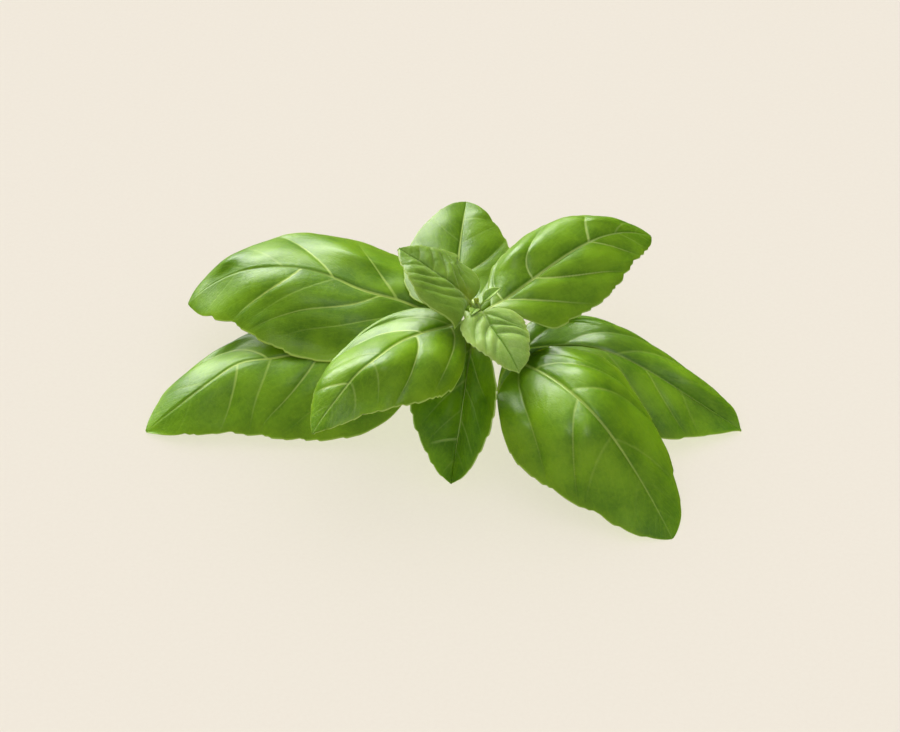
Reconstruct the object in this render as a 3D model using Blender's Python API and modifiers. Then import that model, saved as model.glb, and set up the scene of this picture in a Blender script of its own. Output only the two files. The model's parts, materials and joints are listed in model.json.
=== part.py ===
"""Basil sprig top, cut and lying on a flat surface.

A squarish herb stem carries leaves in crossed pairs. The leafy top stands up
from the surface; below the lowest pair the stem bends back and lies flat, and
ends in its cut. The sprig rests on the stem, and on the drooping ends of its
three longest leaves. Each leaf is one solid, a petiole and a blade, and is
made as a flat grid that is bent by formula and given its thickness.

World frame: +Z up, the surface is z = 0, and the stem lies towards +Y.
Lengths below are in millimetres and angles in degrees, and the model is built
in metres.
"""
import bmesh
import bpy
import math
import numpy as np

MM = 0.001
COLLECTION = "basil_sprig_top"

# ------------------------------------------------------------------ stem
ORIGIN = (-8.71, 6.77)         # middle of the sprig's outline, seen from above
APEX_Z = 45.0                 # height of the growing tip
LEAN_A, LEAN_B = 0.16, 0.0055  # the axis falls back by A*h + B*h*h, h below the tip
BEND_TOP_Z = 17.0             # the stem starts its bend to the surface here
STEM_RUN = 22.0               # straight length that lies on the surface
STEM_SWAY = -4.0              # sideways drift of that length
# half width of the square stem at some heights: (depth below the tip, radius)
STEM_R = ((0.0, 0.75), (1.5, 0.95), (3.5, 1.15), (9.0, 1.25), (18.0, 1.45), (30.0, 1.65), (56.0, 1.85), (90.0, 1.85))
NODE_SWELL = 0.16             # the stem is this much wider at a leaf pair
CORNER = 3.0                  # superellipse power of the square section
GAP = 0.32                    # clear gap between neighbouring solids

# ------------------------------------------------------------------ leaves
# z        height of the leaf's node on the stem
# petiole  length and radius
# blade    length, half width
# heading  compass of the midrib (0 = +X, 90 = +Y) at the stem, the blade's
#          base, its middle and its tip
# pitch    climb of the midrib at the same four places
# roll     turn of the blade about its midrib at base, middle and tip
# fold     rise of each half from the midrib
# curl     total bend of each half down to its margin
# swell    power that moves the widest place along the blade, tip  bluntness
LEAVES = {
    "lower_leaf_left": dict(z=17.5, petiole=(12.0, 0.95), blade=(83.0, 25.5), heading=(185, 182, 186, 204), pitch=(13, 11, -12, -41), roll=(-8, -15, -2), fold=-5, curl=58, swell=0.75, tip=0.3, rests=True),
    "lower_leaf_right": dict(z=17.5, petiole=(7.5, 0.95), blade=(70.5, 23.5), heading=(-6, 0, -11, -22), pitch=(9, 14, -30, -28), roll=(7, 0, -10), fold=13, curl=76, swell=1.0, tip=0.05, rests=True),
    "middle_leaf_left": dict(z=27.0, petiole=(5.0, 0.95), blade=(85.5, 26.0), heading=(156, 152, 162, 179), pitch=(36, 22, 0, -54), roll=(2, -4, -6), fold=-4, curl=34, swell=1.0, tip=0.4, rests=False),
    "middle_leaf_right": dict(z=27.0, petiole=(9.5, 0.95), blade=(70.0, 24.0), heading=(315, 315, 322, 305), pitch=(8, 14, -37, -42), roll=(11, 12, -2), fold=-5, curl=52, swell=0.9, tip=0.45, rests=True),
    "front_leaf": dict(z=33.0, petiole=(2.0, 0.7), blade=(39.5, 14.5), heading=(261, 258, 258, 256), pitch=(16, -13, -41, -60), roll=(12, 13, -1), fold=34, curl=7, swell=0.9, tip=0.2, rests=False),
    "back_leaf": dict(z=33.0, petiole=(2.5, 0.75), blade=(52.0, 15.5), heading=(84, 96, 86, 85), pitch=(43, 24, 3, -12), roll=(1, -2, 5), fold=16, curl=44, swell=0.9, tip=0.25, rests=False),
    "upper_leaf_left": dict(z=38.5, petiole=(4.5, 0.75), blade=(55.5, 19.0), heading=(227, 221, 225, 230), pitch=(20, 19, -3, -47), roll=(-15, 5, 13), fold=1, curl=54, swell=0.85, tip=0.05, rests=False),
    "upper_leaf_right": dict(z=38.5, petiole=(3.0, 0.75), blade=(60.5, 16.5), heading=(28, 34, 42, 29), pitch=(21, 15, 1, -38), roll=(-2, 14, 5), fold=4, curl=54, swell=0.95, tip=0.4, rests=False),
    "inner_leaf_back": dict(z=42.0, petiole=(0.8, 0.5), blade=(24.5, 13.0), heading=(133, 147, 152, 143), pitch=(54, 54, 24, 8), roll=(-7, 9, 7), fold=19, curl=43, swell=0.7, tip=0.05, rests=False),
    "inner_leaf_front": dict(z=42.0, petiole=(0.6, 0.5), blade=(20.5, 9.5), heading=(308, 303, 303, 303), pitch=(28, 18, -14, -43), roll=(-4, -9, -9), fold=24, curl=36, swell=0.85, tip=0.05, rests=False),
    "tip_leaf_right": dict(z=43.2, petiole=(0.5, 0.3), blade=(6.0, 1.8), heading=(30, 35, 38, 40), pitch=(44, 30, 20, 6), roll=(0, 0, 0), fold=42, curl=10, swell=1.0, tip=0.1, rests=False),
    "tip_leaf_left": dict(z=43.2, petiole=(0.5, 0.3), blade=(4.4, 1.4), heading=(262, 260, 254, 250), pitch=(40, 34, 22, 6), roll=(0, 0, 0), fold=34, curl=14, swell=1.0, tip=0.1, rests=False),
}
GREEN = {
    "lower_leaf_left": (0.105, 0.215, 0.012), "lower_leaf_right": (0.115, 0.235, 0.016),
    "middle_leaf_left": (0.120, 0.250, 0.018), "middle_leaf_right": (0.115, 0.240, 0.014),
    "front_leaf": (0.090, 0.195, 0.010), "back_leaf": (0.130, 0.265, 0.022),
    "upper_leaf_left": (0.130, 0.265, 0.022), "upper_leaf_right": (0.130, 0.265, 0.022),
    "inner_leaf_back": (0.150, 0.290, 0.030), "inner_leaf_front": (0.260, 0.430, 0.090),
    "tip_leaf_right": (0.280, 0.430, 0.090), "tip_leaf_left": (0.280, 0.430, 0.090),
}
STEM_GREEN = (0.230, 0.340, 0.060)
BUD_GREEN = (0.270, 0.310, 0.020)

BLADE_T = 0.5                 # thickness of a blade by its midrib
RIM_T = 0.34                  # thickness at its margin
TIP_HALF = 0.35               # half width left at the very tip
# outline of a blade: share of its length from base to tip, share of half width
OUTLINE = ((0.0, 0.04), (0.04, 0.26), (0.10, 0.52), (0.20, 0.80), (0.32, 0.96), (0.45, 1.0), (0.60, 0.92), (0.74, 0.72), (0.86, 0.45), (0.94, 0.23), (1.0, 0.0))
ACROSS = (0.0, 0.07, 0.38, 0.70, 1.0)   # grid lines on one half of a blade


# ------------------------------------------------------------------ curves
def smooth(x, keys, slopes_flat=False):
    """Cubic curve through (position, value) keys. With slopes_flat it never
    overshoots; otherwise it is a plain Catmull-Rom curve."""
    xk = np.array([k[0] for k in keys], float)
    yk = np.array([k[1] for k in keys], float)
    h = np.diff(xk)
    d = np.diff(yk) / h
    m = np.zeros(len(xk))
    m[0], m[-1] = d[0], d[-1]
    for i in range(1, len(xk) - 1):
        if not slopes_flat:
            m[i] = (d[i - 1] * h[i] + d[i] * h[i - 1]) / (h[i] + h[i - 1])
        elif d[i - 1] * d[i] > 0:
            w1, w2 = 2 * h[i] + h[i - 1], h[i] + 2 * h[i - 1]
            m[i] = (w1 + w2) / (w1 / d[i - 1] + w2 / d[i])
    x = np.clip(np.asarray(x, float), xk[0], xk[-1])
    i = np.clip(np.searchsorted(xk, x, side="right") - 1, 0, len(xk) - 2)
    t = (x - xk[i]) / h[i]
    return ((2 * t**3 - 3 * t**2 + 1) * yk[i] + (t**3 - 2 * t**2 + t) * h[i] * m[i]
            + (-2 * t**3 + 3 * t**2) * yk[i + 1] + (t**3 - t**2) * h[i] * m[i + 1])


def axis_y(z):
    """How far back the stem's axis is at height z."""
    h = APEX_Z - z
    return LEAN_A * h + LEAN_B * h * h


def stem_radius(depth):
    r = smooth(depth, STEM_R, True)
    for z in sorted({leaf["z"] for leaf in LEAVES.values() if leaf["z"] < 43}):
        r = r + NODE_SWELL * np.exp(-((depth - (APEX_Z - z)) / 1.6) ** 2)
    return r


def section_radius(angle):
    """Superellipse: 1 on the flats, more at the corners."""
    return (abs(math.cos(angle)) ** CORNER + abs(math.sin(angle)) ** CORNER) ** (-1 / CORNER)


def stem_path():
    """Centre line from the tip down, round the bend and along the surface."""
    pts = []
    z = APEX_Z - 0.9
    while z > BEND_TOP_Z:
        pts.append((0.0, axis_y(z), z))
        z -= 1.2 if z > 36 else 1.9
    slope = LEAN_A + 2 * LEAN_B * (APEX_Z - BEND_TOP_Z)
    a0 = math.atan(slope)
    lie_z = STEM_R[-1][1]
    radius = (BEND_TOP_Z - lie_z) / (1 - math.sin(a0))
    y0 = axis_y(BEND_TOP_Z)
    steps = 11
    for i in range(steps + 1):
        a = a0 + (math.pi / 2 - a0) * i / steps
        pts.append((0.0, y0 + radius * (math.cos(a0) - math.cos(a)), BEND_TOP_Z - radius * (math.sin(a) - math.sin(a0))))
    y1 = pts[-1][1]
    for i in range(1, 6):
        t = i / 5
        pts.append((STEM_SWAY * t * t, y1 + STEM_RUN * t, lie_z))
    return pts


# ------------------------------------------------------------------ leaf shape
def midrib(leaf, s, tilt=0.0):
    """Points and frames of the midrib at s = 0 (stem) .. 1 (tip)."""
    (lp, pr), (lb, _) = leaf["petiole"], leaf["blade"]
    total = lp + lb
    base = lp / total
    key = (0.0, base, base + (1 - base) / 2, 1.0)
    fine = np.linspace(0, 1, 241)
    az = np.radians(smooth(fine, list(zip(key, leaf["heading"]))))
    pi = np.radians(smooth(fine, list(zip(key, leaf["pitch"]))) + tilt)
    step = np.stack([np.cos(pi) * np.cos(az), np.cos(pi) * np.sin(az), np.sin(pi)], -1)
    a0, p0 = az[0], pi[0]
    lean = LEAN_A + 2 * LEAN_B * (APEX_Z - leaf["z"])
    off = float(stem_radius(np.array(APEX_Z - leaf["z"]))) * section_radius(a0) + GAP
    off += pr * (abs(math.sin(p0)) + lean * abs(math.sin(a0)))
    start = np.array([off * math.cos(a0), axis_y(leaf["z"]) + off * math.sin(a0), leaf["z"]])
    line = np.vstack([start, start + np.cumsum((step[1:] + step[:-1]) * 0.5 * total / 240, 0)])
    s = np.asarray(s, float)
    p = np.stack([np.interp(s, fine, line[:, i]) for i in range(3)], -1)
    az = np.interp(s, fine, az)
    pi = np.interp(s, fine, pi)
    ro = np.radians(smooth(s, list(zip(key[1:], leaf["roll"]))))
    along = np.stack([np.cos(pi) * np.cos(az), np.cos(pi) * np.sin(az), np.sin(pi)], -1)
    level = np.stack([-np.sin(az), np.cos(az), 0 * az], -1)
    up = np.cross(along, level)
    left = level * np.cos(ro)[:, None] + up * np.sin(ro)[:, None]
    top = up * np.cos(ro)[:, None] - level * np.sin(ro)[:, None]
    return p, along, left, top, (s - base) / (1 - base)


def half_width(leaf, tb):
    x = np.clip(tb, 0, 1) ** leaf["swell"]
    w = smooth(x, OUTLINE, True)
    w = np.where(x > 0.8, w + leaf["tip"] * np.clip((x - 0.8) / 0.2, 0, 1) * np.sqrt(np.clip(1 - x, 0, 1)), w)
    pr = leaf["petiole"][1]
    return np.where(tb < 0, pr, np.maximum(leaf["blade"][1] * w, np.maximum(pr * (1 - tb * 12), TIP_HALF)))


def leaf_points(leaf, s, v, tilt=0.0):
    """Mid-surface points, normals' side and thickness at (s, v), v = -1 .. 1."""
    p, along, left, top, tb = midrib(leaf, s, tilt)
    full = leaf["blade"][1]
    hw = half_width(leaf, tb)
    w = np.clip(np.abs(v) * hw, 1e-6, None)
    k = np.radians(leaf["curl"]) * (w / full) ** 0.8 / w
    f = math.radians(leaf["fold"])
    th = f - k * w
    side = (math.sin(f) - np.sin(th)) / k * np.where(np.asarray(v) < 0, -1.0, 1.0)
    rise = (np.cos(th) - math.cos(f)) / k
    q = p + left * side[:, None] + top * rise[:, None]
    pr = leaf["petiole"][1]
    round_t = 2 * pr * np.sqrt(np.clip(1 - np.asarray(v) ** 2, 0.03, 1))
    rib = 2 * pr * (1 - np.clip(tb, 0, 1)) ** 0.7 * np.exp(-(w / (1.1 * pr)) ** 2)
    flat_t = np.minimum(BLADE_T, pr) + (RIM_T - BLADE_T) * np.abs(v) * (pr > 0.4)
    mix = np.clip(tb * 14, 0, 1)
    t = round_t * (1 - mix) + np.maximum(flat_t, rib) * mix
    return q, top, t


def resting_tilt(leaf, s, v):
    """Extra droop that lays a resting leaf's lowest point on the surface."""
    lo, hi = -8.0, 8.0
    for _ in range(40):
        mid = (lo + hi) / 2
        q, top, t = leaf_points(leaf, s, v, mid)
        if (q[:, 2] - 0.5 * t * np.abs(top[:, 2])).min() > 0:
            hi = mid
        else:
            lo = mid
    return hi


# ------------------------------------------------------------------ scene
def clear_scene():
    for ob in list(bpy.data.objects):
        bpy.data.objects.remove(ob, do_unlink=True)


def material(name, colour, roughness):
    mat = bpy.data.materials.new(name)
    mat.use_nodes = True
    bsdf = mat.node_tree.nodes["Principled BSDF"]
    bsdf.inputs["Base Color"].default_value = (*colour, 1.0)
    bsdf.inputs["Roughness"].default_value = roughness
    bsdf.inputs["Metallic"].default_value = 0.0
    mat.diffuse_color = (*colour, 1.0)
    return mat


def place(ob, group, mat):
    group.objects.link(ob)
    ob.data.materials.append(mat)
    ob.location = (-ORIGIN[0] * MM, -ORIGIN[1] * MM, 0.0)


def make_leaf(name, leaf, group):
    """Grid, bent by formula, then Solidify with the thickness as weights."""
    large = leaf["blade"][0] > 45
    tiny = leaf["blade"][0] < 10
    stations = 4 if leaf["petiole"][0] > 8 else 2
    rows = 18 if large else (6 if tiny else 12)
    base = leaf["petiole"][0] / sum((leaf["petiole"][0], leaf["blade"][0]))
    along = [base * i / stations for i in range(stations)]
    for i in range(rows + 1):
        x = i / rows
        x = x - 0.11 * math.sin(2 * math.pi * x) / (2 * math.pi) * 2 * 0.5
        along.append(base + (1 - base) * x)
    across = ACROSS if not tiny else (0.0, 0.35, 1.0)
    across = [-a for a in reversed(across[1:])] + list(across)
    bm = bmesh.new()
    bmesh.ops.create_grid(bm, x_segments=len(along) - 1, y_segments=len(across) - 1, size=1.0)
    bm.verts.ensure_lookup_table()
    xs = sorted({round(vt.co.x, 5) for vt in bm.verts})
    ys = sorted({round(vt.co.y, 5) for vt in bm.verts})
    s = np.array([along[min(range(len(xs)), key=lambda i: abs(xs[i] - vt.co.x))] for vt in bm.verts])
    v = np.array([across[min(range(len(ys)), key=lambda i: abs(ys[i] - vt.co.y))] for vt in bm.verts])
    tilt = resting_tilt(leaf, s, v) if leaf["rests"] else 0.0
    q, _, t = leaf_points(leaf, s, v, tilt)
    for vt, co in zip(bm.verts, q):
        vt.co = co * MM
    mesh = bpy.data.meshes.new(name)
    bm.to_mesh(mesh)
    bm.free()
    ob = bpy.data.objects.new(name, mesh)
    mesh.shade_smooth()
    place(ob, group, material(name, GREEN[name], 0.42))
    weights = ob.vertex_groups.new(name="thickness")
    most = 2.0 * leaf["petiole"][1]
    for i, ti in enumerate(t):
        weights.add([i], float(min(1.0, ti / most)), "REPLACE")
    solid = ob.modifiers.new("thickness", "SOLIDIFY")
    solid.thickness = most * MM
    solid.offset = 0.0
    solid.vertex_group = "thickness"
    solid.thickness_vertex_group = 0.0
    solid.use_even_offset = False
    solid.use_rim = True
    solid.use_quality_normals = True
    return ob


def make_stem(group):
    """Poly curve with a square bevel, thinner towards the tip."""
    sect = bpy.data.curves.new("stem_section", "CURVE")
    sect.dimensions = "2D"
    sp = sect.splines.new("POLY")
    n = 16
    sp.points.add(n - 1)
    for i in range(n):
        a = -2 * math.pi * i / n
        r = section_radius(a) * MM
        sp.points[i].co = (r * math.cos(a), r * math.sin(a), 0.0, 1.0)
    sp.use_cyclic_u = True
    guide = bpy.data.objects.new("stem_section", sect)
    group.objects.link(guide)
    guide.hide_render = True
    guide.display_type = "WIRE"

    pts = stem_path()
    depth = [0.9]
    for a, b in zip(pts, pts[1:]):
        depth.append(depth[-1] + math.dist(a, b))
    cu = bpy.data.curves.new("stem", "CURVE")
    cu.dimensions = "3D"
    cu.twist_mode = "MINIMUM"
    cu.bevel_mode = "OBJECT"
    cu.bevel_object = guide
    cu.use_fill_caps = True
    sp = cu.splines.new("POLY")
    sp.points.add(len(pts) - 1)
    for i, (p, d) in enumerate(zip(pts, depth)):
        sp.points[i].co = (p[0] * MM, p[1] * MM, p[2] * MM, 1.0)
        sp.points[i].radius = float(stem_radius(np.array(d)))
    ob = bpy.data.objects.new("stem", cu)
    place(ob, group, material("stem", STEM_GREEN, 0.5))
    weld = ob.modifiers.new("close_caps", "WELD")
    weld.merge_threshold = 0.00001
    return ob


def make_bud(name, group, foot, lean, height, radius, colour):
    """Egg-shaped bud, turned from a profile, with its foot at a point."""
    prof = ((0.0, 1.0), (0.22, 0.86), (0.55, 0.62), (0.86, 0.34), (1.0, 0.12), (0.72, 0.0), (0.0, 0.0))
    bm = bmesh.new()
    last = None
    for x, z in prof:
        vt = bm.verts.new((x * radius * MM, 0.0, z * height * MM))
        if last:
            bm.edges.new((last, vt))
        last = vt
    mesh = bpy.data.meshes.new(name)
    bm.to_mesh(mesh)
    bm.free()
    ob = bpy.data.objects.new(name, mesh)
    place(ob, group, material(name, colour, 0.5))
    ob.location = ((foot[0] - ORIGIN[0]) * MM, (foot[1] - ORIGIN[1]) * MM, foot[2] * MM)
    ob.rotation_euler = (math.radians(lean[0]), math.radians(lean[1]), 0.0)
    turn = ob.modifiers.new("turn", "SCREW")
    turn.steps = turn.render_steps = 10
    turn.use_merge_vertices = True
    turn.merge_threshold = 0.00001
    turn.use_smooth_shade = True
    return ob


def main():
    clear_scene()
    group = bpy.data.collections.new(COLLECTION)
    bpy.context.scene.collection.children.link(group)
    make_stem(group)
    for name, leaf in LEAVES.items():
        make_leaf(name, leaf, group)
    # the closed bud that the two tiny leaves open around
    make_bud("terminal_bud", group, (0.0, axis_y(APEX_Z - 0.5), APEX_Z - 0.9 + GAP), (8, 0), 2.3, 0.62, BUD_GREEN)
    # a side shoot just starting in the axil of the front leaf
    make_bud("axil_shoot", group, (0.5, axis_y(34.5) - 2.1, 34.9), (62, 0), 3.0, 0.8, GREEN["tip_leaf_left"])


main()
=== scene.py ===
"""Looks of the basil sprig top.

Every leaf is rebuilt as a fine closed mesh on the same mid-surface as its CAD
solid, with a sunken midrib, side veins that the blade puffs up between, a
toothed and wavy margin, and ribs below. The stem, its cut end and the buds are
modelled the same way. Lengths in the tables are millimetres.
"""
import json
import math

import bpy
import numpy as np
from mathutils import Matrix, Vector

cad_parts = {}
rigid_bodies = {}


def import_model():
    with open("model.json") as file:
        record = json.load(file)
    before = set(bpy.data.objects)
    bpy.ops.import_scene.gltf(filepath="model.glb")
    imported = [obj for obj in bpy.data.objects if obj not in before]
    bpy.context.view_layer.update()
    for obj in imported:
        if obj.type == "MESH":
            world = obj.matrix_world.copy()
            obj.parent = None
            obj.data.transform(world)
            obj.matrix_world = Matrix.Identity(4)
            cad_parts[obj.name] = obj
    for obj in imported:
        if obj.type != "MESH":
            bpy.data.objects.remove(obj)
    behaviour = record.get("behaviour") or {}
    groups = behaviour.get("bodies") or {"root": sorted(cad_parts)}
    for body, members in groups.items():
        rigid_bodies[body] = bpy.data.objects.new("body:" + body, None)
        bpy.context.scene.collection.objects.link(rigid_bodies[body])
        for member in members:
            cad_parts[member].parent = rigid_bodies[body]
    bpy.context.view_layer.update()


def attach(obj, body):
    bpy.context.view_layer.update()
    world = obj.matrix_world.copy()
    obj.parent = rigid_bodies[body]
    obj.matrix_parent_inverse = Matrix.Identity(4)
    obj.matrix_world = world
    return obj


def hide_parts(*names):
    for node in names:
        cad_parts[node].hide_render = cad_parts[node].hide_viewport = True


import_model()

MM = 0.001

# ------------------------------------------------------------------ the CAD's own design numbers
ORIGIN = (-8.71, 6.77)
APEX_Z = 45.0
LEAN_A, LEAN_B = 0.16, 0.0055
BEND_TOP_Z = 17.0
STEM_RUN = 22.0
STEM_SWAY = -4.0
STEM_R = ((0.0, 0.75), (1.5, 0.95), (3.5, 1.15), (9.0, 1.25), (18.0, 1.45), (30.0, 1.65), (56.0, 1.85), (90.0, 1.85))
NODE_SWELL = 0.16
CORNER = 3.0
GAP = 0.32
BLADE_T = 0.5
RIM_T = 0.34
TIP_HALF = 0.35
OUTLINE = ((0.0, 0.04), (0.04, 0.26), (0.10, 0.52), (0.20, 0.80), (0.32, 0.96), (0.45, 1.0), (0.60, 0.92), (0.74, 0.72), (0.86, 0.45), (0.94, 0.23), (1.0, 0.0))
LEAVES = {
    "lower_leaf_left": dict(z=17.5, petiole=(12.0, 0.95), blade=(83.0, 25.5), heading=(185, 182, 186, 204), pitch=(13, 11, -12, -41), roll=(-8, -15, -2), fold=-5, curl=58, swell=0.75, tip=0.3, rests=True),
    "lower_leaf_right": dict(z=17.5, petiole=(7.5, 0.95), blade=(70.5, 23.5), heading=(-6, 0, -11, -22), pitch=(9, 14, -30, -28), roll=(7, 0, -10), fold=13, curl=76, swell=1.0, tip=0.05, rests=True),
    "middle_leaf_left": dict(z=27.0, petiole=(5.0, 0.95), blade=(85.5, 26.0), heading=(156, 152, 162, 179), pitch=(36, 22, 0, -54), roll=(2, -4, -6), fold=-4, curl=34, swell=1.0, tip=0.4, rests=False),
    "middle_leaf_right": dict(z=27.0, petiole=(9.5, 0.95), blade=(70.0, 24.0), heading=(315, 315, 322, 305), pitch=(8, 14, -37, -42), roll=(11, 12, -2), fold=-5, curl=52, swell=0.9, tip=0.45, rests=True),
    "front_leaf": dict(z=33.0, petiole=(2.0, 0.7), blade=(39.5, 14.5), heading=(261, 258, 258, 256), pitch=(16, -13, -41, -60), roll=(12, 13, -1), fold=34, curl=7, swell=0.9, tip=0.2, rests=False),
    "back_leaf": dict(z=33.0, petiole=(2.5, 0.75), blade=(52.0, 15.5), heading=(84, 96, 86, 85), pitch=(43, 24, 3, -12), roll=(1, -2, 5), fold=16, curl=44, swell=0.9, tip=0.25, rests=False),
    "upper_leaf_left": dict(z=38.5, petiole=(4.5, 0.75), blade=(55.5, 19.0), heading=(227, 221, 225, 230), pitch=(20, 19, -3, -47), roll=(-15, 5, 13), fold=1, curl=54, swell=0.85, tip=0.05, rests=False),
    "upper_leaf_right": dict(z=38.5, petiole=(3.0, 0.75), blade=(60.5, 16.5), heading=(28, 34, 42, 29), pitch=(21, 15, 1, -38), roll=(-2, 14, 5), fold=4, curl=54, swell=0.95, tip=0.4, rests=False),
    "inner_leaf_back": dict(z=42.0, petiole=(0.8, 0.5), blade=(24.5, 13.0), heading=(133, 147, 152, 143), pitch=(54, 54, 24, 8), roll=(-7, 9, 7), fold=19, curl=43, swell=0.7, tip=0.05, rests=False),
    "inner_leaf_front": dict(z=42.0, petiole=(0.6, 0.5), blade=(20.5, 9.5), heading=(308, 303, 303, 303), pitch=(28, 18, -14, -43), roll=(-4, -9, -9), fold=24, curl=36, swell=0.85, tip=0.05, rests=False),
    "tip_leaf_right": dict(z=43.2, petiole=(0.5, 0.3), blade=(6.0, 1.8), heading=(30, 35, 38, 40), pitch=(44, 30, 20, 6), roll=(0, 0, 0), fold=42, curl=10, swell=1.0, tip=0.1, rests=False),
    "tip_leaf_left": dict(z=43.2, petiole=(0.5, 0.3), blade=(4.4, 1.4), heading=(262, 260, 254, 250), pitch=(40, 34, 22, 6), roll=(0, 0, 0), fold=34, curl=14, swell=1.0, tip=0.1, rests=False),
}

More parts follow.
